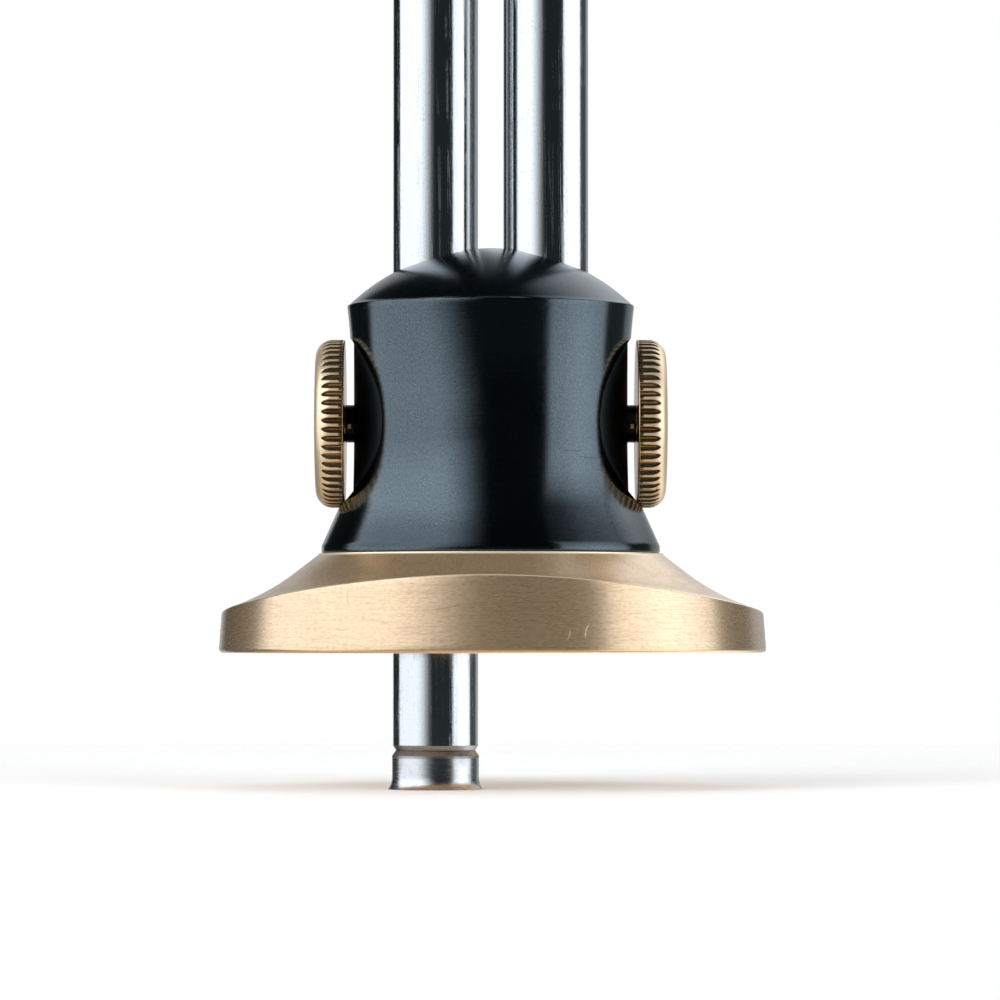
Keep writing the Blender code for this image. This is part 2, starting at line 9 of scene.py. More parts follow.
import bpy
import bmesh
from bpy.props import FloatProperty, FloatVectorProperty, IntProperty, PointerProperty
from bpy.types import Operator, Panel, PropertyGroup
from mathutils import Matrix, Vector


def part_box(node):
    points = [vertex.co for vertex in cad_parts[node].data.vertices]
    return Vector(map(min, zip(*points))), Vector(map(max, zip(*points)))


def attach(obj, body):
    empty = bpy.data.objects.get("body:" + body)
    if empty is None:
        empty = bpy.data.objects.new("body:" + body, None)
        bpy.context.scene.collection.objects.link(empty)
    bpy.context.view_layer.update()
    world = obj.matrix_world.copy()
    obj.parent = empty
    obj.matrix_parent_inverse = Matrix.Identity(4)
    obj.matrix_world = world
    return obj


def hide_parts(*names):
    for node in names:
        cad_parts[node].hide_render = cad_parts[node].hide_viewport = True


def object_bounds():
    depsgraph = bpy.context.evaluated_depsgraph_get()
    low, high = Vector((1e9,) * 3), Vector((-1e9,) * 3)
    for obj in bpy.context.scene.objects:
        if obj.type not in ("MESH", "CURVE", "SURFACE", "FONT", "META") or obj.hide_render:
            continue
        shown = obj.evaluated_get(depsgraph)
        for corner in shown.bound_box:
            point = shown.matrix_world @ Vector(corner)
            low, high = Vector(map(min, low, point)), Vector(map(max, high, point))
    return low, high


bl_info = {
    "name": "Dual marking gauge",
    "version": (1, 0, 0),
    "blender": (4, 5, 0),
    "location": "View3D > Sidebar > Gauge",
    "description": "Builds a marking gauge with two wheel cutters, its finishes and a studio",
    "category": "Add Mesh",
}

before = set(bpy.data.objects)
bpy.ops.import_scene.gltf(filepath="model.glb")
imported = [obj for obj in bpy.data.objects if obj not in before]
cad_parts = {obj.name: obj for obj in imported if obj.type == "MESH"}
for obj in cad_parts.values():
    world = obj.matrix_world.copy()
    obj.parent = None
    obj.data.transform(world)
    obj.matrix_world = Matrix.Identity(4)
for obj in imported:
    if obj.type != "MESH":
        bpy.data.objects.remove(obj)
CAD_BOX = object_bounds()
BOXES = {node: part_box(node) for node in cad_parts}

SIDES = (("left", -1), ("right", 1))
ENDS = ("front", "back")
SMOOTH_ANGLE = math.radians(28)
WELD = 0.0000001
OVERRUN = 0.001


def low(node):
    """The lowest corner of a node of the frame."""
    return BOXES[node][0]


def high(node):
    """The highest corner of a node of the frame."""
    return BOXES[node][1]


def half_width(node):
    """Half of a node's width along X."""
    return (high(node).x - low(node).x) / 2


ROD_RADIUS = half_width("left_rod")
ROD_OFFSET = (high("right_rod").x + low("right_rod").x) / 2
CLAMP_HEIGHT = (high("left_thumbscrew").z + low("left_thumbscrew").z) / 2
HEAD_RADIUS = high("right_thumbscrew").y
BODY_RADIUS = high("body").y
BODY_FOOT, BODY_TOP = low("body").z, high("body").z
FENCE_TOP = high("fence_plate").z


def metres(name, description, default):
    """A length in metres that the panel shows."""
    return FloatProperty(name=name, description=description, default=default, unit="LENGTH",
                         precision=5, min=0.0)


def degrees(name, description, default):
    """An angle that the panel shows in degrees."""
    return FloatProperty(name=name, description=description, default=math.radians(default),
                         subtype="ANGLE", unit="ROTATION")


def brightness(name, description, default):
    """A light, where 1 is white."""
    return FloatProperty(name=name, description=description, default=default, min=0.0)


def portion(name, description, default):
    """A plain number between nothing and one."""
    return FloatProperty(name=name, description=description, default=default, min=0.0, max=1.0)


def tint(name, description, default):
    """A colour as light values."""
    return FloatVectorProperty(name=name, description=description, default=default, size=3,
                               subtype="COLOR", min=0.0, max=1.0)


class GAUGE_PG_body(PropertyGroup):
    """Sizes of the black bell."""

    land_height: metres("Land", "Height of the straight land at the foot", 0.0004)
    cone_height: metres("Cone", "Height of the cone above the land", 0.00344)
    flare_angle: degrees("Flare angle", "Slope of the cone against the rods", 24.2)
    flare_radius: metres("Flare radius", "Radius of the hollow between cone and waist", 0.0154)
    waist_height: metres("Waist", "Height of the straight waist", 0.0039)
    swell_height: metres("Swell", "Height of the widening above the waist", 0.0087)
    swell_radius: metres("Swell radius", "Radius of that widening", 0.075)
    shoulder_break: metres("Shoulder break", "Rounding under the dome's rim", 0.00018)
    dome_radius: metres("Dome", "Radius of the domed top", 0.0191)
    spot_depth: metres("Spot face depth", "How deep a spot face cuts into the waist", 0.00017)
    spot_margin: metres("Spot face margin", "Room round a thumbscrew's head", 0.0002)
    clearance: metres("Clearance", "Room round a rod in its bore", 0.00005)
    seam: metres("Seam", "Gap left between the body and the fence", 0.00004)


class GAUGE_PG_fence(PropertyGroup):
    """Sizes of the brass fence."""

    ledge: metres("Ledge", "How far the fence's top stands out round the body", 0.00017)
    cone_width: metres("Cone", "Width of the straight slope under the body", 0.00227)
    cone_angle: degrees("Cone angle", "Slope of that cone", 37.6)
    cove_radius: metres("Cove", "Radius of the hollow between cone and brim", 0.0206)
    brim_angle: degrees("Brim angle", "Slope of the outer brim", 8.5)
    draft: metres("Draft", "How much the rim narrows towards its top", 0.00025)
    edge_break: metres("Edge break", "Rounding of the rim's lower edge", 0.0004)
    top_break: metres("Top break", "Rounding of the rim's upper edge", 0.0002)
    land: metres("Land", "Height of the bright land round the fence's top", 0.00012)
    land_break: metres("Land break", "Rounding of that land's upper edge", 0.00004)
    pocket_clearance: metres("Pocket", "Room round a parked wheel", 0.00025)
    seat_gap: metres("Seat gap", "Room behind a parked wheel and round a screw's head", 0.0003)


class GAUGE_PG_rods(PropertyGroup):
    """Sizes of the rods, wheels and their screws."""

    top_chamfer: metres("Top chamfer", "Chamfer on a rod's upper end", 0.0006)
    foot_chamfer: metres("Foot chamfer", "Height of the chamfer on a rod's lower end", 0.0005)
    foot_width: metres("Foot chamfer width", "Width of that chamfer", 0.0003)
    wheel_step: metres("Wheel step", "How far a wheel stands out round its rod", 0.00008)
    bevel_height: metres("Bevel", "Height of a wheel's hollow bevel", 0.0012)
    bevel_hollow: FloatProperty(name="Bevel hollow", description="How hollow that bevel is",
                                default=2.2, min=1.0)
    wheel_chamfer: metres("Wheel chamfer", "Height of the chamfer on a wheel's top", 0.00045)
    seat_share: portion("Seat share", "Share of the gap under a rod that its wheel fills", 0.6)
    wheel_chamfer_width: metres("Wheel chamfer width", "Width of that chamfer", 0.0003)
    dish_radius: metres("Dish", "Radius of the flat floor under a wheel", 0.0025)
    dish_depth: metres("Dish depth", "Depth of that floor", 0.0013)
    screw_radius: metres("Cutter screw", "Radius of a cutter screw's shank", 0.001)
    slot_width: metres("Slot", "Width of a cutter screw's slot", 0.0005)
    slot_depth: metres("Slot depth", "Depth of that slot", 0.0004)
    head_round: metres("Head round", "Rounding of a cutter screw's head", 0.00025)


class GAUGE_PG_thumbscrews(PropertyGroup):
    """Sizes of the knurled thumbscrews."""

    grooves: IntProperty(name="Grooves", description="Grooves round a head", default=58, min=3)
    groove_depth: metres("Groove depth", "Depth of a knurl groove", 0.00034)
    lip: metres("Lip", "Plain ring between the knurl and a head's inner face", 0.00004)
    inner_round: metres("Inner round", "Rounding of a head's inner edge", 0.00012)
    shoulder: metres("Shoulder", "Rounding of a head's outer edge", 0.0016)
    crown: metres("Crown", "Radius of a head's crowned back", 0.16)
    thread_radius: metres("Thread", "Outer radius of the thread", 0.002)
    thread_depth: metres("Thread depth", "Depth of the thread", 0.0004)
    thread_pitch: metres("Pitch", "Pitch of the thread", 0.0007)
    relief_radius: metres("Relief", "Radius of the neck behind the thread", 0.00175)
    relief_length: metres("Relief length", "Length of that neck", 0.00095)
    standoff: metres("Standoff", "Gap between a head and its spot face", 0.00088)


class GAUGE_PG_finishes(PropertyGroup):
    """Colours and polish of the metals."""

    black: tint("Black", "Anodised body", (0.084, 0.106, 0.119))
    black_roughness: portion("Black roughness", "Roughness of the body", 0.12)
    brass: tint("Brass", "Fence and thumbscrews", (0.81, 0.56, 0.32))
    brass_dark: tint("Tarnish", "Tarnished brass", (0.54, 0.365, 0.20))
    # Painted highlight: lighter brass on the fence's edges, land and glints, and on the knobs' lands and
    # crowns
    brass_highlight: tint("Worn brass", "Brass rubbed bright on an edge", (0.95, 0.85, 0.64))
    # Painted shade deep in the knurl grooves
    groove: tint("Groove", "Brass deep in a knurl groove", (0.07, 0.04, 0.02))
    # Painted shade on the neck and thread between a head and the body
    neck: tint("Neck", "Blackened neck and thread", (0.03, 0.028, 0.026))
    brass_metal: portion("Fence metal", "How far the fence's brushed skin mirrors", 0.78)
    fence_roughness: portion("Fence roughness", "Roughness of the brushed fence", 0.24)
    knob_roughness: portion("Knob roughness", "Roughness of the turned thumbscrews", 0.2)
    steel: tint("Steel", "Ground rods", (0.66, 0.675, 0.685))
    steel_roughness: portion("Steel roughness", "Roughness of the rods", 0.09)
    cutter: tint("Cutter", "Hardened wheels", (0.62, 0.62, 0.63))
    cutter_roughness: portion("Cutter roughness", "Roughness of the wheels", 0.24)
    screw: tint("Screws", "Small steel screws", (0.55, 0.55, 0.57))
    nylon: tint("Nylon", "Clamp pads", (0.82, 0.8, 0.74))
    rubber: tint("Rubber", "Brake rings", (0.02, 0.02, 0.02))


class GAUGE_PG_stage(PropertyGroup):
    """Camera, lamps and the light tent."""

    camera_distance: metres("Distance", "From the camera to the rods", 0.5137)
    camera_side: FloatProperty(name="Side", description="Camera's place along X",
                               default=-0.00184, unit="LENGTH", precision=5)
    camera_height: metres("Height", "Camera's height above the working face", 0.00121)
    camera_turn: degrees("Turn", "How far the camera turns to the right", 0.302)
    camera_tilt: degrees("Tilt", "How far the camera looks up", 1.458)
    lens: FloatProperty(name="Lens", description="Focal length in millimetres", default=198.0, min=1.0)
    floor_color: tint("Floor", "Pale floor", (0.88, 0.88, 0.88))
    floor_glow: portion("Floor glow", "How much of its white the floor shows by itself", 0.16)
    tent_radius: metres("Tent", "Radius of the light tent", 2.0)
    panel_light: brightness("Panels", "Light of the tent's side panels", 1.55)
    wall_light: brightness("Wall", "Light of the wall behind the gauge", 1.0)
    dark_light: brightness("Dark", "Light of the dark gaps", 0.022)
    roof_light: brightness("Roof", "Light of the panel high behind the gauge", 1.0)
    ground_light: brightness("Ground", "Light from below", 0.55)
    soft_light: brightness("Soft light", "Even light from all round", 0.55)


class Value:
    """A shader socket whose sums and products add their own nodes."""

    def __init__(self, recipe, socket):
        self.recipe = recipe
        self.socket = socket

    def maths(self, operation, *values):
        """A Math node on some values."""
        return self.recipe.node("ShaderNodeMath", {"operation": operation}, dict(enumerate(values)))

    def __add__(self, other):
        return self.maths("ADD", self, other)

    def __radd__(self, other):
        return self.maths("ADD", other, self)

    def __sub__(self, other):
        return self.maths("SUBTRACT", self, other)

    def __rsub__(self, other):
        return self.maths("SUBTRACT", other, self)

    def __mul__(self, other):
        return self.maths("MULTIPLY", self, other)

    def __rmul__(self, other):
        return self.maths("MULTIPLY", other, self)

    def __truediv__(self, other):
        return self.maths("DIVIDE", self, other)

    def __rtruediv__(self, other):
        return self.maths("DIVIDE", other, self)

    def __abs__(self):
        return self.maths("ABSOLUTE", self)

    def larger(self, other):
        """The larger of two values."""
        return self.maths("MAXIMUM", self, other)

    def smaller(self, other):
        """The smaller of two values."""
        return self.maths("MINIMUM", self, other)

    def root(self):
        """The square root."""
        return self.maths("SQRT", self)

    def angle(self, other):
        """The angle whose tangent is this value over another, in degrees."""
        return self.maths("ARCTAN2", self, other) * (180 / math.pi)

    def step(self, start, end):
        """A soft step from 0 at start to 1 at end."""
        return self.recipe.node(
            "ShaderNodeMapRange", {"interpolation_type": "SMOOTHSTEP"},
            {"Value": self, "From Min": start, "From Max": end})

    def band(self, start, end, soft):
        """1 between start and end, with soft edges, and 0 outside."""
        return self.step(start - soft, start + soft) * (1 - self.step(end - soft, end + soft))


def span(across, along):
    """The length of a line from its reach in two directions."""
    return (across * across + along * along).root()


class Recipe:
    """The nodes of one material or world."""

    def __init__(self, tree):
        self.tree = tree

    def node(self, kind, settings=None, inputs=None, output=0):
        """Make a node, set it up, feed its sockets, and return one of its outputs."""
        made = self.tree.nodes.new(kind)
        for name, value in (settings or {}).items():
            setattr(made, name, value)
        for name, value in (inputs or {}).items():
            self.feed(made.inputs[name], value)
        return Value(self, made.outputs[output])

    def feed(self, socket, value):
        """Link a value to a socket, or set the socket to a plain number or colour."""
        if isinstance(value, Value):
            self.tree.links.new(value.socket, socket)
        elif socket.type == "RGBA":
            socket.default_value = (*value, 1.0)
        else:
            socket.default_value = value

    def place(self):
        """Object coordinates, whole and as x, y and z."""
        whole = self.node("ShaderNodeTexCoord", output="Object")
        parts = [self.node("ShaderNodeSeparateXYZ", inputs={0: whole}, output=axis) for axis in "XYZ"]
        return [whole] + parts

    def vector(self, x, y, z):
        """A vector from three values."""
        return self.node("ShaderNodeCombineXYZ", inputs={"X": x, "Y": y, "Z": z})

    def noise(self, vector, scale=1.0, detail=3.0, roughness=0.5):
        """Smooth noise between 0 and 1."""
        return self.node("ShaderNodeTexNoise", inputs={
            "Vector": vector, "Scale": scale, "Detail": detail, "Roughness": roughness})

    def lines(self, point, around, along, detail=3.0, roughness=0.5):
        """Noise at one scale round the piece and another along it."""
        x, y, z = point
        return self.noise(self.vector(x * around, y * around, z * along), 1.0, detail, roughness)

    def mix(self, factor, first, second):
        """A blend of two colours."""
        return self.node("ShaderNodeMix", {"data_type": "RGBA"},
                         {"Factor": factor, "A": first, "B": second}, "Result")

    def surface(self, shader):
        """Show a shader on the material."""
        self.feed(self.tree.nodes["Material Output"].inputs["Surface"], shader)


class Metal(Recipe):
    """A material with a Principled shader."""

    def __init__(self, name, color, roughness, metallic=1.0):
        self.material = bpy.data.materials.new(name)
        self.material.use_nodes = True
        super().__init__(self.material.node_tree)
        self.shader = self.tree.nodes["Principled BSDF"]
        self.set("Base Color", color)
        self.set("Roughness", roughness)
        self.set("Metallic", metallic)

    def set(self, name, value):
        """Set or link one of the shader's sockets."""
        self.feed(self.shader.inputs[name], value)

    def bump(self, height, strength, distance):
        """Relief of the surface, where distance is its depth in metres."""
        self.set("Normal", self.node("ShaderNodeBump", inputs={
            "Strength": strength, "Distance": distance, "Height": height}))


def arc(centre, radius, start, end, steps):
    """Points of an arc in (radius, height), both ends included."""
    turns = [start + (end - start) * step / steps for step in range(steps + 1)]
    return [(centre[0] + radius * math.cos(turn), centre[1] + radius * math.sin(turn)) for turn in turns]


def straight(first, last, steps):
    """Points along a straight stretch, both ends included."""
    return [(first[0] + (last[0] - first[0]) * step / steps,
             first[1] + (last[1] - first[1]) * step / steps) for step in range(steps + 1)]


def without_repeats(points):
    """The same outline with no point twice in a row."""
    kept = points[:1]
    for point in points[1:]:
        if math.dist(point, kept[-1]) > WELD:
            kept.append(point)
    return kept


def close_up(shape):
    """Weld seams and poles and turn the faces outwards."""
    bmesh.ops.remove_doubles(shape, verts=shape.verts, dist=WELD)
    bmesh.ops.dissolve_degenerate(shape, edges=shape.edges, dist=WELD)
    bmesh.ops.recalc_face_normals(shape, faces=shape.faces)
    return shape


def spun(points, columns, closed=False):
    """A row of points spun once round Z."""
    shape = bmesh.new()
    corners = [shape.verts.new(point) for point in points]
    edges = [shape.edges.new(pair) for pair in zip(corners, corners[1:])]
    if closed:
        edges.append(shape.edges.new((corners[-1], corners[0])))
    bmesh.ops.spin(shape, geom=corners + edges, cent=(0, 0, 0), axis=(0, 0, 1),
                   angle=math.tau, steps=columns, use_merge=True)
    return shape


def turned(profile, columns, x=0.0, y=0.0, closed=False):
    """A profile of (radius, height) points turned about an upright axis.

    It is run in to the axis at both ends, or closed into a ring.
    """
    if not closed:
        profile = [(0.0, profile[0][1]), *profile, (0.0, profile[-1][1])]
    points = [(radius, 0.0, height) for radius, height in without_repeats(profile)]
    return shift(close_up(spun(points, columns, closed)), x, y)


def lofted(rows, place, columns):
    """A turned blank whose every vertex is moved to place(row, turn)."""
    shape = spun([(1.0, 0.0, float(number)) for number in range(len(rows))], columns)
    for vert in shape.verts:
        vert.co = place(rows[round(vert.co.z)], math.atan2(vert.co.y, vert.co.x))
    return close_up(shape)


def laid(shape, sign):
    """Lay a shape made about Z along the thumbscrews' axis, outwards on one side."""
    for vert in shape.verts:
        x, y, z = vert.co
        vert.co = (sign * z, y, CLAMP_HEIGHT - sign * x)
    bmesh.ops.recalc_face_normals(shape, faces=shape.faces)
    return shape


def shift(shape, x, y, z=0.0):
    """Move a shape."""
    bmesh.ops.translate(shape, vec=(x, y, z), verts=shape.verts)
    return shape


def fill(mesh, shape):
    """Put a shape into a mesh, smooth but for its sharp edges."""
    shape.to_mesh(mesh)
    shape.free()
    mesh.shade_smooth()
    mesh.set_sharp_from_angle(angle=SMOOTH_ANGLE)


def solid(name, shape):
    """Make an object of a shape."""
    mesh = bpy.data.meshes.new(name)
    fill(mesh, shape)
    piece = bpy.data.objects.new(name, mesh)
    bpy.context.scene.collection.objects.link(piece)
    return piece


def carve(piece, shapes):
    """Cut shapes out of a piece and keep the result as its mesh."""
    cutters = [solid(piece.name + "_cutter", shape) for shape in shapes]
    for cutter in cutters:
        cut = piece.modifiers.new(cutter.name, "BOOLEAN")
        cut.operation = "DIFFERENCE"
        cut.solver = "EXACT"
        cut.object = cutter
    graph = bpy.context.evaluated_depsgraph_get()
    mesh = bpy.data.meshes.new_from_object(piece.evaluated_get(graph))
    piece.modifiers.clear()
    rough = piece.data
    piece.data = mesh
    bpy.data.meshes.remove(rough)
    for cutter in cutters:
        bpy.data.meshes.remove(cutter.data)
    shape = bmesh.new()
    shape.from_mesh(mesh)
    bmesh.ops.dissolve_degenerate(shape, edges=shape.edges, dist=WELD)
    many_sided = [face for face in shape.faces if len(face.verts) > 4]
    bmesh.ops.triangulate(shape, faces=many_sided, quad_method="BEAUTY", ngon_method="BEAUTY")
    fill(mesh, shape)


def fit(piece, node, body, material):
    """Let a piece stand for a node, move with its body and wear a material."""
    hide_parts(node)
    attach(piece, body)
    piece.data.materials.clear()
    piece.data.materials.append(material)


def shade(color, share):
    """A colour made lighter or darker."""
    return [part * share for part in color]


def below(x, z, heights):
    """1 under the height given for each side, and 0 over it."""
    left, right = [1 - z.step(height - 0.00012, height) for height in heights]
    side = x.step(-0.0001, 0.0001)
    return left * (1 - side) + right * side


# Scratches as the front shows them: both ends, the width and the sag
BODY_SCRATCHES = (((0.0066, 0.01853), (0.0082, 0.01851), 0.00006, 0.0),
                  ((0.008, 0.018), (0.0098, 0.01792), 0.00006, 0.0))
DARK_SCRATCHES = (((-0.01293, 0.0057), (-0.01296, 0.0043), 0.00008, 0.0001),
                  ((-0.0053, 0.0039), (-0.0027, 0.00435), 0.00008, 0.00004))
# Scratches with real relief whose lighter colour is a painted highlight
GLINT_SCRATCHES = (((0.0085, 0.0015), (0.0088, 0.0026), 0.00008, -0.0001),
                   ((0.0068, 0.0012), (0.0071, 0.0021), 0.00007, 0.0001))


def scratches(point, marks, front):
    """1 on any of some scratches, which end where the front does, and 0 off them."""
    x, y, z = point
    return sum(mark(x, z, *each) for each in marks) * (1 - y.step(*front))


def mark(x, z, start, end, width, sag):
    """1 on a scratch between two points seen from the front, and 0 off it."""
    length = math.dist(start, end)
    across = (end[0] - start[0]) / length
    along = (end[1] - start[1]) / length
    run = (x - start[0]) * across + (z - start[1]) * along
    off = (z - start[1]) * across - (x - start[0]) * along + run * (length - run) * (sag * 4 / length ** 2)
    ends = run.band(0.0, length, length / 6)
    return ends * (1 - abs(off).step(width * 0.3, width))


def black_anodised(colors, sizes):
    """Satin black on turned aluminium: grain, faint lathe lines, two scratches, duller places, and painted
    shade in the spot faces and at the foot.
    """
    metal = Metal("black_anodised", colors.black, colors.black_roughness)
    place, x, y, z = metal.place()
    radius = span(x, y)
    grain = metal.noise(place, scale=6200.0, roughness=0.75)
    cloud = metal.noise(place, scale=220.0)
    lines = metal.lines((x, y, z + radius * 0.7), around=300, along=7000, detail=2.0)
    speck = metal.noise(place, scale=4200.0, detail=1.0).step(0.75, 0.8)
    dome = 1 - radius.step(sizes.dome_radius * 0.7, sizes.dome_radius * 0.76)
    dome = dome * z.step(BODY_TOP - sizes.dome_radius / 3, BODY_TOP - sizes.dome_radius / 4)
    # Painted shade: inside the spot faces the colour is darkened and the surface is rougher
    wall = HEAD_RADIUS + sizes.spot_margin
    spot = 1 - span(y, z - CLAMP_HEIGHT).step(wall + 0.00001, wall + 0.00005)
    # Painted shade: the land and cone at the foot, beside the fence, are darkened
    cone = BODY_FOOT + sizes.land_height
    foot = z.step(BODY_FOOT, cone) * (1 - z.step(cone, cone + sizes.cone_height * 1.15))
    marks = scratches((x, y, z), BODY_SCRATCHES, front=(-0.004, -0.002))
    metal.set("Roughness", colors.black_roughness + (grain - 0.5) * 0.26 + (cloud - 0.5) * 0.06
              + dome * 0.06 + spot * 0.28)
    tone = grain.step(0.3, 0.7) * 0.6 + cloud * 0.2 + lines * 0.2 + speck * 0.9
    # Painted shade in the spot faces and at the foot; the scratches are darker too
    tone = tone * (1 - spot) * (1 - marks) - foot * 0.55
    metal.set("Base Color", metal.mix(tone, shade(colors.black, 0.6), shade(colors.black, 1.4)))
    metal.bump(grain * 0.6 + lines * 0.4, strength=0.5, distance=0.000016)
    return metal.material


def brushed_brass(colors, sizes):
    """Satin brass with brush lines round the rim, rings on the cove, scratches, and painted highlights on
    its edges, its land and some scratches.
    """
    metal = Metal("brushed_brass", colors.brass, colors.fence_roughness, colors.brass_metal)
    place, x, y, z = metal.place()
    middle_x, middle_y, rim = rim_place()
    upper = rim - sizes.draft
    reach = span(x - middle_x, y - middle_y)
    cove = 1 - reach.step(upper - sizes.top_break * 2, upper)
    brushed = (x, y, z + span(x, y) * cove * 0.8)
    fine = metal.lines(brushed, around=240, along=7400, detail=4.0, roughness=0.7)
    broad = metal.lines(brushed, around=110, along=1700, detail=4.0)
    speck = metal.lines(brushed, around=2000 + cove * 3200, along=6000, roughness=0.7)
    stain = metal.noise(place, scale=150.0, detail=5.0)
    dark_marks = scratches((x, y, z), DARK_SCRATCHES, front=(-0.008, -0.004))
    glint_marks = scratches((x, y, z), GLINT_SCRATCHES, front=(-0.008, -0.004))
    # Painted highlight: the rim's lower outer edge is made lighter
    edge = reach.step(rim - sizes.edge_break * 2, rim)
    wear = 1 - z.step(sizes.edge_break * 0.6, sizes.edge_break * 1.3)
    # Tarnish from brush lines, stains, specks and dark scratches, lessened by painted highlight on the
    # glint scratches and the lower edge
    tarnish = (fine.step(0.4, 0.66) * 0.4 + stain.step(0.4, 0.75) * 0.15 + speck.step(0.4, 0.68) * 0.6
               + broad.step(0.5, 0.75) * 0.15 + dark_marks * 0.9 - glint_marks * 0.8 - wear * edge * 0.5)
    # Painted highlight along the rim's rounded upper edge
    arris_highlight = reach.step(upper - sizes.top_break * 0.9, upper - sizes.top_break * 0.6)
    arris_highlight = arris_highlight * (1 - reach.step(upper - 0.00004, upper - 0.00001))
    # Painted highlight: a thin bright line on the land round the fence's top
    land = z.step(FENCE_TOP - 0.00026, FENCE_TOP - 0.00016)
    # Painted highlight: lighter, less metallic brass, which the lamps light
    painted_highlight = arris_highlight * broad.step(0.3, 0.6) + glint_marks * 0.5 + land * 0.8
    tone = metal.mix(tarnish, colors.brass, colors.brass_dark)
    metal.set("Base Color", metal.mix(painted_highlight, tone, colors.brass_highlight))
    metal.set("Metallic", colors.brass_metal - painted_highlight * 0.35)
    metal.set("Roughness", colors.fence_roughness + (fine - 0.5) * 0.3 + (stain - 0.5) * 0.06 + cove * 0.16)
    metal.set("Coat Weight", 0.9)
    metal.set("Coat IOR", 2.05)
    metal.set("Coat Roughness", 0.25)
    relief = fine * 0.5 + broad * 0.15 + speck * 0.45 - (dark_marks + glint_marks) * 0.4
    metal.bump(relief, strength=0.6, distance=0.00002)
    return metal.material


def turned_brass(colors, sizes):
    """Bright turned brass with tool marks about the screws' axis, painted shade in the grooves and on the
    black neck, and painted highlights on the lands, the crown and the neck.
    """
    metal = Metal("turned_brass", colors.brass, colors.knob_roughness)
    place, x, y, z = metal.place()
    out, lift = abs(x), z - CLAMP_HEIGHT
    radius = span(y, lift)
    rings = metal.noise(metal.vector((radius + out * 0.5) * 8000, y * 250, z * 250))
    stain = metal.noise(place, scale=400.0, detail=4.0)
    speck = metal.noise(place, scale=5000.0, detail=2.0)
    face = bell_floor() + sizes.standoff
    # Painted shade: the neck and thread, between the head and the body, are black
    neck = 1 - out.step(face - 0.00006, face - 0.00002)
    middle = face - sizes.standoff / 2
    # Painted highlight: a small brass glint on the neck's front, less metallic so the lamps light it
    rubbed = out.band(middle - 0.00015, middle + 0.00015, 0.00003) * (1 - y.step(-0.0014, -0.0012))
    rubbed = rubbed * lift.band(-0.0005, -0.0001, 0.00005)
    black = neck * (1 - rubbed)
    flat = HEAD_RADIUS - sizes.shoulder
    shoulder = high("right_thumbscrew").x - flat ** 2 / (sizes.crown * 2) - sizes.shoulder
    rise = (out - shoulder).larger(0.0)
    depth = flat + (sizes.shoulder ** 2 - rise * rise).larger(0.0).root() - radius
    # Painted shade: the grooves' walls take the dark groove colour
    wall = depth.band(0.00004, sizes.groove_depth * 0.6, 0.00003) * radius.step(flat, flat + 0.0001)
    # Painted highlight: the lands and the crown in lighter brass, less metallic and rougher
    bright = (1 - depth.step(0.00003, 0.00005)) * out.step(face + 0.0003, face + 0.0006)
    tarnish = stain.step(0.4, 0.8) * 0.4 + speck.step(0.45, 0.8) * 0.3
    tone = metal.mix(tarnish, colors.brass, colors.brass_dark)
    tone = metal.mix(bright * 0.5, tone, colors.brass_highlight)
    tone = metal.mix(wall * 0.85, tone, colors.groove)
    metal.set("Base Color", metal.mix(black, tone, colors.neck))
    metal.set("Metallic", 1 - rubbed * 0.8 - bright * 0.3)
    metal.set("Roughness", colors.knob_roughness + (rings - 0.5) * 0.15 + (stain - 0.5) * 0.08
              + black * 0.2 + wall * 0.2 + bright * 0.14)
    metal.bump(rings, strength=0.3, distance=0.000005)
    return metal.material


def ground_steel(colors, sizes):
    """Bright ground rod with long hairlines, small pits, a faint grain and a foot that is darker and
    rougher by the wheel.
    """
    metal = Metal("ground_steel", colors.steel, colors.steel_roughness)
    place, x, y, z = metal.place()
    streaks = metal.lines((x, y, z), around=5200, along=35, roughness=0.6)
    lines = metal.noise(metal.vector(x * 1700 + z * 36, y * 1700, z * 14), detail=2.0)
    grain = metal.noise(place, scale=6500.0, roughness=0.7)
    cloud = metal.noise(place, scale=260.0, detail=4.0)
    hairs = (1 - abs(lines - 0.5).step(0.006, 0.02)) * cloud.step(0.4, 0.52)
    pits = grain.step(0.6, 0.68) * cloud.step(0.46, 0.58)
    # Darker and rougher at the rod's foot, where it meets the wheel
    joint_band = below(x, z, [low(side + "_rod").z + sizes.foot_chamfer for side, sign in SIDES])
    metal.set("Roughness", colors.steel_roughness + (grain - 0.5) * 0.2 + streaks.step(0.5, 0.75) * 0.1
              + hairs * 0.2 + pits * 0.12 + joint_band * 0.2)
    darkening = pits * 0.5 + grain.step(0.45, 0.75) * 0.15 + joint_band * 0.7
    metal.set("Base Color", metal.mix(darkening, colors.steel, shade(colors.steel, 0.45)))
    metal.bump(streaks * 0.5 + grain * 0.5, strength=0.5, distance=0.000016)
    return metal.material


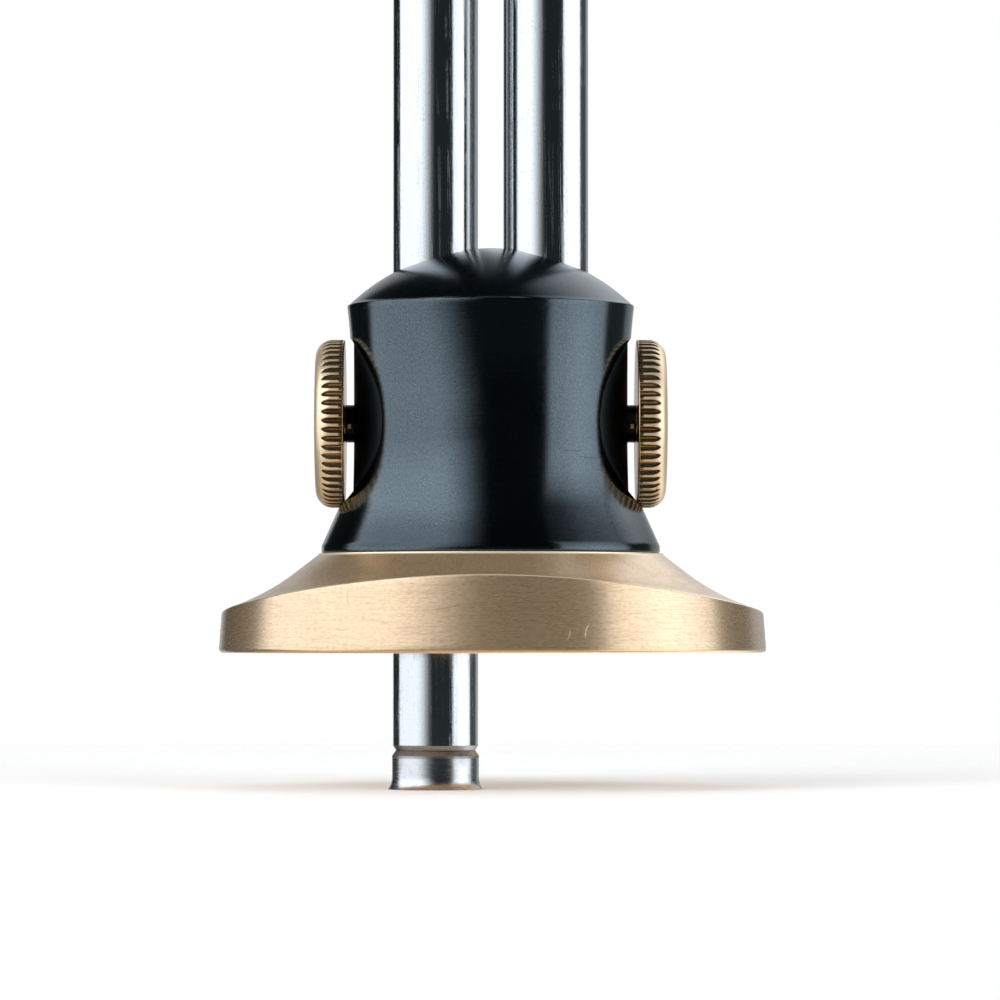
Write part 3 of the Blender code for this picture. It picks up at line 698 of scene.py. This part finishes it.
def hardened_steel(colors, sizes):
    """Ground wheel steel, a little darker, with grinding lines and a top chamfer that is darker and rougher
    by the rod.
    """
    metal = Metal("hardened_steel", colors.cutter, colors.cutter_roughness)
    place, x, y, z = metal.place()
    lines = metal.lines((x, y, z), around=400, along=9000)
    stain = metal.noise(place, scale=700.0, detail=4.0)
    grain = metal.noise(place, scale=5200.0, roughness=0.7)
    chamfers = [high(side + "_cutter_wheel").z - sizes.wheel_chamfer for side, sign in SIDES]
    # Darker and rougher on the top chamfer, where the wheel meets the rod
    joint_band = 1 - below(x, z, chamfers)
    darkening = stain.step(0.45, 0.8) * 0.5 + grain.step(0.5, 0.75) * 0.3 + joint_band * 0.6
    metal.set("Base Color", metal.mix(darkening, colors.cutter, shade(colors.cutter, 0.4)))
    metal.set("Roughness", colors.cutter_roughness + (lines - 0.5) * 0.2 + (grain - 0.5) * 0.12
              + joint_band * 0.15)
    metal.bump(lines * 0.6 + grain * 0.4, strength=0.4, distance=0.000012)
    return metal.material


def grained(name, color, roughness, spread, scale, detail=3.0, metallic=0.0,
            strength=0.2, depth=0.00001):
    """A plain finish whose fine grain changes its roughness and its relief."""
    skin = Metal(name, color, roughness, metallic)
    grain = skin.noise(skin.place()[0], scale, detail)
    skin.set("Roughness", roughness + grain * spread)
    skin.bump(grain, strength, depth)
    return skin.material


def screw_steel(colors):
    """Plain steel of the small screws."""
    return grained("screw_steel", colors.screw, roughness=0.25, spread=0.16, scale=2500.0,
                   metallic=1.0, strength=0.25, depth=0.000006)


def waist_radius(sizes):
    """The radius of the bell's straight waist."""
    cone_width = sizes.cone_height * math.tan(sizes.flare_angle)
    return BODY_RADIUS - cone_width - sizes.flare_radius * (1 - math.cos(sizes.flare_angle))


def bell_floor():
    """How far a spot face's floor stands from the body's axis."""
    sizes = bpy.context.scene.gauge_body
    return waist_radius(sizes) - sizes.spot_depth


def bell_profile(sizes):
    """The bell's outline from its foot to the top of its dome."""
    foot = FENCE_TOP + sizes.seam
    land = BODY_FOOT + sizes.land_height
    angle, edge = sizes.flare_angle, sizes.shoulder_break
    waist = waist_radius(sizes)
    waist_foot = land + sizes.cone_height + sizes.flare_radius * math.sin(angle)
    waist_top = waist_foot + sizes.waist_height
    swell = math.asin(sizes.swell_height / sizes.swell_radius)
    rim = waist + sizes.swell_radius * (1 - math.cos(swell)) - edge
    rim_angle = math.acos(rim / sizes.dome_radius)
    dome_centre = BODY_TOP - sizes.dome_radius
    rim_height = dome_centre + sizes.dome_radius * math.sin(rim_angle)
    cone_end = (BODY_RADIUS - sizes.cone_height * math.tan(angle), land + sizes.cone_height)
    outline = straight((BODY_RADIUS * 0.4, foot), (BODY_RADIUS - edge, foot), 6)
    outline += arc((BODY_RADIUS - edge, foot + edge), edge, -math.pi / 2, 0.0, 4)
    outline += straight((BODY_RADIUS, foot + edge), (BODY_RADIUS, land), 2)
    outline += straight((BODY_RADIUS, land), cone_end, 12)
    outline += arc((waist + sizes.flare_radius, waist_foot), sizes.flare_radius,
                   math.pi + angle, math.pi, 22)
    outline += straight((waist, waist_foot), (waist, waist_top), 12)
    outline += arc((waist + sizes.swell_radius, waist_top), sizes.swell_radius,
                   math.pi, math.pi - swell, 26)
    outline += arc((rim, rim_height - edge), edge, 0.0, math.pi / 4, 4)
    outline += arc((0.0, dome_centre), sizes.dome_radius, rim_angle, math.pi / 2, 40)
    return outline


def spot_face_profile(sizes, screws):
    """The space round a thumbscrew's hole, along the screw's axis from the rod outwards."""
    start = low("right_thumbscrew").x / 2
    floor = bell_floor()
    hole = screws.thread_radius + sizes.clearance
    wall = HEAD_RADIUS + sizes.spot_margin
    return [(hole, start), (hole, floor - sizes.clearance), (hole + sizes.clearance * 4, floor),
            (wall, floor), (wall, BODY_RADIUS + OVERRUN)]


class GAUGE_OT_body(Operator):
    """Make the black bell with its bores and spot faces"""

    bl_idname = "gauge.body"
    bl_label = "Body"

    def execute(self, context):
        sizes = context.scene.gauge_body
        body = solid("bell_body", turned(bell_profile(sizes), columns=288))
        bore = ROD_RADIUS + sizes.clearance
        rod_space = [(bore, BODY_FOOT - OVERRUN), (bore, BODY_TOP + OVERRUN)]
        screw_space = spot_face_profile(sizes, context.scene.gauge_thumbscrews)
        cuts = []
        for side, sign in SIDES:
            cuts.append(turned(rod_space, columns=160, x=sign * ROD_OFFSET))
            cuts.append(laid(turned(screw_space, columns=200), sign))
        carve(body, cuts)
        fit(body, "body", "head", black_anodised(context.scene.gauge_finishes, sizes))
        return {"FINISHED"}


def rim_place():
    """The middle of the fence's rim and its radius, from the frame."""
    corner_low, corner_high = BOXES["fence_plate"]
    middle = (corner_low + corner_high) / 2
    return middle.x, middle.y, (corner_high.x - corner_low.x) / 2


def cove_height(sizes, radius):
    """The height of the fence's top at a distance from the body's axis."""
    top_radius = BODY_RADIUS + sizes.ledge
    slope, cove = sizes.cone_angle, sizes.cove_radius
    cove_start = top_radius + sizes.cone_width
    cove_top = FENCE_TOP - sizes.cone_width * math.tan(slope)
    centre = (cove_start + cove * math.sin(slope), cove_top + cove * math.cos(slope))
    brim_start = centre[0] - cove * math.sin(sizes.brim_angle)
    if radius <= cove_start:
        return FENCE_TOP - (radius - top_radius) * math.tan(slope)
    if radius <= brim_start:
        return centre[1] - math.sqrt(cove ** 2 - (radius - centre[0]) ** 2)
    brim_top = centre[1] - cove * math.cos(sizes.brim_angle)
    return brim_top - (radius - brim_start) * math.tan(sizes.brim_angle)


def fence_shape(sizes):
    """The fence: its rim turned about its own middle, its cove about the body's axis.

    Above the lower edge each row is a share of the side, the upper edge, the
    cove or the land, so the rim's upper edge follows the cove in an arch.
    """
    middle_x, middle_y, rim = rim_place()
    top_radius = BODY_RADIUS + sizes.ledge + sizes.land / math.tan(sizes.cone_angle)
    side_radius = rim - sizes.draft
    edge, top_edge = sizes.edge_break, sizes.top_break
    outline = [(0.0, 0.0)] + straight((rim * 0.25, 0.0), (rim - edge, 0.0), 10)
    outline += arc((rim - edge, edge), edge, -math.pi / 2, 0.0, 6)
    rows = [("lower", point) for point in without_repeats(outline)]
    for kind, count in (("side", 14), ("edge", 4), ("cove", 60)):
        rows += [(kind, row / count) for row in range(1, count + 1)]
    rows += [("land", row / 4) for row in range(5)] + [("top", 0.5), ("top", 0.0)]

    def place(row, turn):
        kind, share = row
        across, along = math.cos(turn), math.sin(turn)
        if kind == "lower":
            radius, height = share
            return (middle_x * radius / rim + radius * across,
                    middle_y * radius / rim + radius * along, height)
        if kind == "top":
            return (top_radius * share * across, top_radius * share * along, FENCE_TOP)
        bend = share * math.pi / 2
        if kind == "land":
            radius = top_radius - sizes.land_break * (1 - math.cos(bend))
            return (radius * across, radius * along, FENCE_TOP - sizes.land_break * (1 - math.sin(bend)))
        end_x = middle_x + (side_radius - top_edge) * across
        end_y = middle_y + (side_radius - top_edge) * along
        end_height = cove_height(sizes, math.hypot(end_x, end_y))
        if kind == "cove":
            near_x, near_y = top_radius * across, top_radius * along
            x = near_x + (end_x - near_x) * (1 - share)
            y = near_y + (end_y - near_y) * (1 - share)
            return (x, y, cove_height(sizes, math.hypot(x, y)))
        if kind == "side":
            radius = rim + (side_radius - rim) * share
            height = edge + (end_height - top_edge - edge) * share
        else:
            radius = side_radius - top_edge + top_edge * math.cos(bend)
            height = end_height - top_edge + top_edge * math.sin(bend)
        return (middle_x + radius * across, middle_y + radius * along, height)

    return lofted(rows, place, columns=360)


class GAUGE_OT_fence(Operator):
    """Make the brass fence with its wheel pockets and countersunk holes"""

    bl_idname = "gauge.fence"
    bl_label = "Fence"

    def execute(self, context):
        sizes = context.scene.gauge_fence
        fence = solid("coved_fence", fence_shape(sizes))
        top = FENCE_TOP + OVERRUN
        bore = ROD_RADIUS + context.scene.gauge_body.clearance
        depth = high("right_cutter_wheel").z + sizes.seat_gap
        pocket = high("left_cutter_wheel").y + sizes.pocket_clearance
        chamfer = 0.0002
        outline = [(pocket + chamfer, -OVERRUN), (pocket + chamfer, 0.0), (pocket, chamfer),
                   (pocket, depth), (bore, depth), (bore, top)]
        cuts = [turned(outline, columns=128, x=sign * ROD_OFFSET) for side, sign in SIDES]
        for end in ENDS:
            node = "fence_screw_" + end
            mouth = half_width(node) + sizes.seat_gap
            shank = mouth / 2
            rim = low(node).z + sizes.seat_gap
            outline = [(mouth, -OVERRUN), (mouth, rim), (shank, rim + mouth - shank), (shank, top)]
            cuts.append(turned(outline, columns=96, y=(low(node).y + high(node).y) / 2))
        carve(fence, cuts)
        fit(fence, "fence_plate", "head", brushed_brass(context.scene.gauge_finishes, sizes))
        return {"FINISHED"}


class GAUGE_OT_fence_screws(Operator):
    """Make the countersunk screws under the fence, each with a hexagon socket"""

    bl_idname = "gauge.fence_screws"
    bl_label = "Fence screws"

    def execute(self, context):
        material = screw_steel(context.scene.gauge_finishes)
        for end in ENDS:
            node = "fence_screw_" + end
            head = half_width(node)
            face, tip = low(node).z, high(node).z
            y = (low(node).y + high(node).y) / 2
            shank = head / 2
            rim = face + head / 10
            edge = head / 40
            outline = [(head - edge, face), (head, face + edge), (head, rim), (shank, rim + head - shank),
                       (shank, tip - shank / 4), (shank - shank / 4, tip)]
            screw = solid(node + "_steel", turned(outline, columns=96, y=y))
            socket = [(head * 0.46, face - OVERRUN), (head * 0.46, face), (head * 0.40, face + head * 0.04),
                      (head * 0.385, face + head * 0.4), (0.0, face + head * 0.5)]
            carve(screw, [turned(socket, columns=6, y=y)])
            fit(screw, node, "head", material)
        return {"FINISHED"}


def rod_profile(sizes, node):
    """A rod's outline from the hole in its foot to its upper end."""
    gap = low(node).z - high(node.replace("_rod", "_cutter_wheel")).z
    hair = WELD * 50
    foot, top = low(node).z - gap * (1 - sizes.seat_share) + hair, high(node).z
    hole = sizes.screw_radius + bpy.context.scene.gauge_body.clearance
    depth = foot + ROD_RADIUS * 1.4
    return [(hole, depth), (hole, foot), (ROD_RADIUS - sizes.foot_width, foot),
            (ROD_RADIUS, foot + sizes.foot_chamfer), (ROD_RADIUS, top - sizes.top_chamfer),
            (ROD_RADIUS - sizes.top_chamfer, top)]


class GAUGE_OT_rods(Operator):
    """Make the two ground rods"""

    bl_idname = "gauge.rods"
    bl_label = "Rods"

    def execute(self, context):
        sizes = context.scene.gauge_rods
        material = ground_steel(context.scene.gauge_finishes, sizes)
        for side, sign in SIDES:
            node = side + "_rod"
            shape = turned(rod_profile(sizes, node), columns=256, x=sign * ROD_OFFSET)
            fit(solid(node + "_ground", shape), node, node + "_body", material)
        return {"FINISHED"}


def wheel_profile(sizes, node):
    """A wheel's section: hollow bevel, body, chamfer, hole and dished underside."""
    gap = low(node.replace("_cutter_wheel", "_rod")).z - high(node).z
    edge, top = low(node).z, high(node).z + gap * sizes.seat_share
    body = ROD_RADIUS + sizes.wheel_step
    flare = half_width(node) - body
    hole = sizes.screw_radius + bpy.context.scene.gauge_body.clearance
    rows = 14
    rises = [row / rows for row in range(rows + 1)]
    bevel = [(body + flare * (1 - rise) ** sizes.bevel_hollow, edge + sizes.bevel_height * rise)
             for rise in rises]
    return bevel + [
        (body, top - sizes.wheel_chamfer), (body - sizes.wheel_chamfer_width, top), (hole, top),
        (hole, edge + sizes.dish_depth), (sizes.dish_radius, edge + sizes.dish_depth)]


class GAUGE_OT_wheels(Operator):
    """Make the cutter wheels"""

    bl_idname = "gauge.wheels"
    bl_label = "Cutter wheels"

    def execute(self, context):
        sizes = context.scene.gauge_rods
        material = hardened_steel(context.scene.gauge_finishes, sizes)
        for side, sign in SIDES:
            node = side + "_cutter_wheel"
            shape = turned(wheel_profile(sizes, node), columns=192, x=sign * ROD_OFFSET, closed=True)
            fit(solid(node + "_ground", shape), node, side + "_wheel_body", material)
        return {"FINISHED"}


class GAUGE_OT_cutter_screws(Operator):
    """Make the small slotted screws that hold the wheels"""

    bl_idname = "gauge.cutter_screws"
    bl_label = "Cutter screws"

    def execute(self, context):
        sizes = context.scene.gauge_rods
        material = screw_steel(context.scene.gauge_finishes)
        for side, sign in SIDES:
            node = side + "_cutter_screw"
            face, tip = low(node).z, high(node).z
            head = half_width(node)
            neck = face + head * 0.42
            chamfer = 0.0003
            outline = arc((head - sizes.head_round, face + sizes.head_round), sizes.head_round,
                          -math.pi / 2, 0.0, 6)
            outline += [(head, neck), (sizes.screw_radius, neck), (sizes.screw_radius, tip - chamfer),
                        (sizes.screw_radius - chamfer, tip)]
            screw = solid(node + "_steel", turned(outline, columns=96, x=sign * ROD_OFFSET))
            slot = bmesh.new()
            bmesh.ops.create_cube(slot, size=2.0)
            reach = (head + OVERRUN, sizes.slot_width / 2, sizes.slot_depth)
            bmesh.ops.scale(slot, vec=reach, verts=slot.verts)
            carve(screw, [shift(slot, sign * ROD_OFFSET, 0.0, face)])
            fit(screw, node, side + "_rod_body", material)
        return {"FINISHED"}


GROOVE_COLUMNS = (0.0, 0.1, 0.14, 0.2, 0.3, 0.4, 0.5, 0.6, 0.7, 0.8, 0.86, 0.9)
GROOVE_START = 0.12


def thumbscrew_shape(sizes):
    """A thumbscrew about Z, its height counted from the body's axis.

    The columns crowd where a groove's walls are steep, and each groove is a
    hollow between two narrow lands.
    """
    tip, head = low("right_thumbscrew").x, HEAD_RADIUS
    face = bell_floor() + sizes.standoff
    root = head - sizes.groove_depth
    run_out = face - sizes.relief_length
    crown_centre = high("right_thumbscrew").x - sizes.crown
    flat = head - sizes.shoulder
    hair = WELD * 2
    crown_angle = math.acos(flat / sizes.crown)
    shoulder_height = crown_centre + sizes.crown * math.sin(crown_angle) - sizes.shoulder
    thread_rows = round((run_out - tip) / sizes.thread_pitch * 8)
    edge = sizes.inner_round
    outline = [(0.0, tip), (sizes.thread_radius * 0.5, tip)]
    outline += straight((sizes.thread_radius, tip + hair), (sizes.thread_radius, run_out), thread_rows)
    outline += [(sizes.relief_radius, run_out + hair), (sizes.relief_radius, face - hair)]
    outline += straight((sizes.relief_radius * 1.2, face), (head - edge, face), 8)
    outline += arc((head - edge, face + edge), edge, -math.pi / 2, 0.0, 5)
    outline += straight((head, face + edge), (head, face + edge + sizes.lip), 2)
    outline += straight((head, face + edge + sizes.lip * 1.4), (head, shoulder_height), 10)
    outline += arc((flat, shoulder_height), sizes.shoulder, 0.0, math.pi / 2, 22)
    outline += arc((0.0, crown_centre), sizes.crown, crown_angle, math.pi / 2, 12)[1:]
    knurl_start = face + edge + sizes.lip * 1.2
    columns = sizes.grooves * len(GROOVE_COLUMNS)

    def place(row, turn):
        radius, height = row
        cell, column = divmod(round(turn / math.tau * columns) % columns, len(GROOVE_COLUMNS))
        turn = (cell + GROOVE_COLUMNS[column]) / sizes.grooves * math.tau
        if height < run_out + WELD and radius > sizes.thread_radius * 0.9:
            phase = (height - tip) / sizes.thread_pitch - turn / math.tau
            wave = abs(2 * (phase - math.floor(phase)) - 1)
            taper = min(1.0, (height - tip) / sizes.thread_pitch + 0.3)
            radius = sizes.thread_radius - sizes.thread_depth * (1 - wave * taper)
        elif height > knurl_start and radius > root:
            off = abs(GROOVE_COLUMNS[column] - 0.5) / (0.5 - GROOVE_START)
            hollow = max(0.0, 1 - off ** 1.5)
            radius = min(radius, head - sizes.groove_depth * hollow)
        return (radius * math.cos(turn), radius * math.sin(turn), height)

    return lofted(without_repeats(outline), place, columns)


class GAUGE_OT_thumbscrews(Operator):
    """Make the knurled thumbscrews"""

    bl_idname = "gauge.thumbscrews"
    bl_label = "Thumbscrews"

    def execute(self, context):
        sizes = context.scene.gauge_thumbscrews
        material = turned_brass(context.scene.gauge_finishes, sizes)
        upright = thumbscrew_shape(sizes)
        for side, sign in SIDES:
            shape = laid(upright.copy(), sign)
            fit(solid(side + "_knurled_screw", shape), side + "_thumbscrew", side + "_screw_body", material)
        upright.free()
        return {"FINISHED"}


class GAUGE_OT_inner_pieces(Operator):
    """Finish the clamp pads and brake rings, whose shapes are the frame's own"""

    bl_idname = "gauge.inner_pieces"
    bl_label = "Inner pieces"

    def execute(self, context):
        colors = context.scene.gauge_finishes
        nylon = grained("pad_nylon", colors.nylon, roughness=0.42, spread=0.16, scale=1800.0)
        rubber = grained("ring_rubber", colors.rubber, roughness=0.5, spread=0.25, scale=1500.0, detail=4.0)
        for kind, material in (("_clamp_pad", nylon), ("_brake_ring", rubber)):
            for side, sign in SIDES:
                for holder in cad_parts[side + kind].material_slots:
                    holder.material = material
        return {"FINISHED"}


def add_floor(sizes):
    """A pale floor under the extended wheel that fades into the white and is clear from below."""
    shape = bmesh.new()
    bmesh.ops.create_circle(shape, cap_ends=True, segments=96, radius=0.5)
    shift(shape, 0.0, 0.0, CAD_BOX[0].z - 0.00002)
    floor = solid("pale_floor", shape)
    recipe = Metal("pale_floor", sizes.floor_color, 0.9, metallic=0.0)
    whole, x, y, z = recipe.place()
    fade = span(x, y).step(0.04, 0.3)
    underside = recipe.node("ShaderNodeNewGeometry", output="Backfacing")
    clear = recipe.node("ShaderNodeBsdfTransparent")
    shaded = Value(recipe, recipe.shader.outputs["BSDF"])
    seen = recipe.node("ShaderNodeLightPath", output="Is Camera Ray")
    glow = recipe.node("ShaderNodeEmission", inputs={"Strength": seen * sizes.floor_glow})
    lit = recipe.node("ShaderNodeAddShader", inputs={0: shaded, 1: glow})
    recipe.surface(recipe.node("ShaderNodeMixShader", inputs={0: fade.larger(underside), 1: lit, 2: clear}))
    floor.data.materials.append(recipe.material)
    floor.visible_glossy = False


def add_tent(sizes):
    """A light tent that only reflections see: bright side panels, dark gaps, roof and floor.

    Its light is drawn in degrees: turn counts from the front to the right, and
    lift from level upwards.
    """
    shape = bmesh.new()
    bmesh.ops.create_icosphere(shape, subdivisions=4, radius=sizes.tent_radius)
    tent = solid("light_tent", shape)
    material = bpy.data.materials.new("light_tent")
    material.use_nodes = True
    recipe = Recipe(material.node_tree)
    recipe.tree.nodes.remove(recipe.tree.nodes["Principled BSDF"])
    whole, x, y, z = recipe.place()
    turn = x.angle(0 - y)
    lift = z.angle(span(x, y))
    slope = z / (2 * sizes.tent_radius * (sizes.tent_radius - y)).root()
    inner = turn - (lift - 5).smaller(0.0) * 1.15
    outer = turn + lift.smaller(0.0) * 1.1 - lift.band(1.2, 9, 0.8) * 4
    left_panel = outer.step(-118, -114) * (1 - inner.step(-46, -2)) * (1 - slope.step(0.41, 0.56))
    left_panel = left_panel * (0.72 + lift.step(-22, 34) * 0.56)
    right_panel = turn.band(48.5, 107, 1.5) * (0.8 + turn.band(66, 93, 16) * 0.35)
    right_panel = right_panel * (1 - lift.step(16, 50)) * (0.82 + lift.step(-15, 3) * 0.33)
    panels = (left_panel + right_panel) * lift.step(-44, -30) * sizes.panel_light
    wall = (1 - turn.step(-163, -156)) * 0.55 + turn.step(106, 110) * 0.06
    wall = wall + turn.step(137, 143) * 0.34 + turn.step(162, 174) * 0.3
    aside = turn.step(102, 116) * abs(lift).step(12, 24)
    wall = (wall + aside * (1.1 - wall)) * (1 - lift.step(12, 72)) * sizes.wall_light
    toward = (x * 0.49 + y * 0.52 + z * 0.70) / sizes.tent_radius
    roof = toward.step(0.86, 1.05) * sizes.roof_light
    ground = (1 - lift.step(-38, -22)) * sizes.ground_light
    dark = sizes.dark_light + (1 - lift.step(-1.1, -0.2)) * 0.02
    lights = (panels, wall + roof, dark, ground)
    red_green_blue = ((0.95, 0.98, 0.75, 1.0), (1.0, 1.0, 1.0, 0.8), (1.07, 1.02, 1.05, 0.55))
    parts = [sum(light * share for light, share in zip(lights, shares)) for shares in red_green_blue]
    glow = recipe.node("ShaderNodeEmission", inputs={"Color": recipe.vector(*parts), "Strength": 1.0})
    recipe.surface(glow)
    tent.data.materials.append(material)
    for ray in ("camera", "diffuse", "transmission", "volume_scatter", "shadow"):
        setattr(tent, "visible_" + ray, False)


def add_world(sizes):
    """White behind the gauge for the camera and for reflections, soft grey light otherwise."""
    world = bpy.data.worlds.new("studio")
    world.use_nodes = True
    bpy.context.scene.world = world
    recipe = Recipe(world.node_tree)
    seen, mirrored, passed = [recipe.node("ShaderNodeLightPath", output=ray)
                              for ray in ("Is Camera Ray", "Is Glossy Ray", "Is Transmission Ray")]
    white = recipe.mix(seen.larger(mirrored).larger(passed), (sizes.soft_light,) * 3, (1.0,) * 3)
    backdrop = recipe.tree.nodes["Background"]
    recipe.feed(backdrop.inputs["Color"], white)
    recipe.feed(backdrop.inputs["Strength"], 1.0)


def add_lamp(name, place, size, power):
    """A soft square lamp that looks at the gauge and lights only what isn't a mirror."""
    lamp = bpy.data.lights.new(name, "AREA")
    lamp.size = size
    lamp.energy = power
    holder = bpy.data.objects.new(name, lamp)
    holder.location = place
    holder.rotation_euler = Vector(place).to_track_quat("Z", "Y").to_euler()
    holder.visible_glossy = False
    bpy.context.scene.collection.objects.link(holder)


def add_camera(sizes):
    """The camera at the photograph's viewing angle."""
    camera = bpy.data.cameras.new("camera")
    camera.lens = sizes.lens
    camera.clip_start = 0.01
    camera.clip_end = 20.0
    holder = bpy.data.objects.new("camera", camera)
    holder.location = (sizes.camera_side, -sizes.camera_distance, sizes.camera_height)
    holder.rotation_euler = (math.pi / 2 + sizes.camera_tilt, 0.0, -sizes.camera_turn)
    bpy.context.scene.collection.objects.link(holder)
    bpy.context.scene.camera = holder


class GAUGE_OT_stage(Operator):
    """Set up the floor, the light tent, the lamps and the camera"""

    bl_idname = "gauge.stage"
    bl_label = "Stage"

    def execute(self, context):
        sizes = context.scene.gauge_stage
        add_camera(sizes)
        add_floor(sizes)
        add_tent(sizes)
        add_world(sizes)
        add_lamp("key_lamp", (-0.45, -0.6, 0.4), size=0.5, power=4.0)
        add_lamp("fill_lamp", (0.5, -0.6, 0.35), size=0.5, power=2.5)
        add_lamp("top_lamp", (0.0, 0.2, 0.9), size=0.6, power=1.0)
        context.scene.view_settings.view_transform = "Standard"
        return {"FINISHED"}


class GAUGE_PT_panel(Panel):
    """The gauge's sizes, finishes and steps"""

    bl_idname = "GAUGE_PT_panel"
    bl_label = "Marking gauge"
    bl_space_type = "VIEW_3D"
    bl_region_type = "UI"
    bl_category = "Gauge"

    def draw(self, context):
        for operator in OPERATORS:
            self.layout.operator(operator.bl_idname)
        for name, group in GROUPS.items():
            box = self.layout.box()
            for key in group.__annotations__:
                box.prop(getattr(context.scene, name), key)


GROUPS = {
    "gauge_body": GAUGE_PG_body,
    "gauge_fence": GAUGE_PG_fence,
    "gauge_rods": GAUGE_PG_rods,
    "gauge_thumbscrews": GAUGE_PG_thumbscrews,
    "gauge_finishes": GAUGE_PG_finishes,
    "gauge_stage": GAUGE_PG_stage,
}
OPERATORS = (
    GAUGE_OT_body,
    GAUGE_OT_fence,
    GAUGE_OT_fence_screws,
    GAUGE_OT_rods,
    GAUGE_OT_wheels,
    GAUGE_OT_cutter_screws,
    GAUGE_OT_thumbscrews,
    GAUGE_OT_inner_pieces,
    GAUGE_OT_stage,
)


def register():
    """Register the groups, operators and panel."""
    for name, group in GROUPS.items():
        bpy.utils.register_class(group)
        setattr(bpy.types.Scene, name, PointerProperty(type=group))
    for kind in OPERATORS + (GAUGE_PT_panel,):
        bpy.utils.register_class(kind)


def unregister():
    """Take the panel, operators and groups away again."""
    for kind in reversed(OPERATORS + (GAUGE_PT_panel,)):
        bpy.utils.unregister_class(kind)
    for name, group in GROUPS.items():
        delattr(bpy.types.Scene, name)
        bpy.utils.unregister_class(group)


def main():
    """Build the whole gauge."""
    register()
    for operator in OPERATORS:
        group, step = operator.bl_idname.split(".")
        getattr(getattr(bpy.ops, group), step)()


if __name__ == "__main__":
    main()
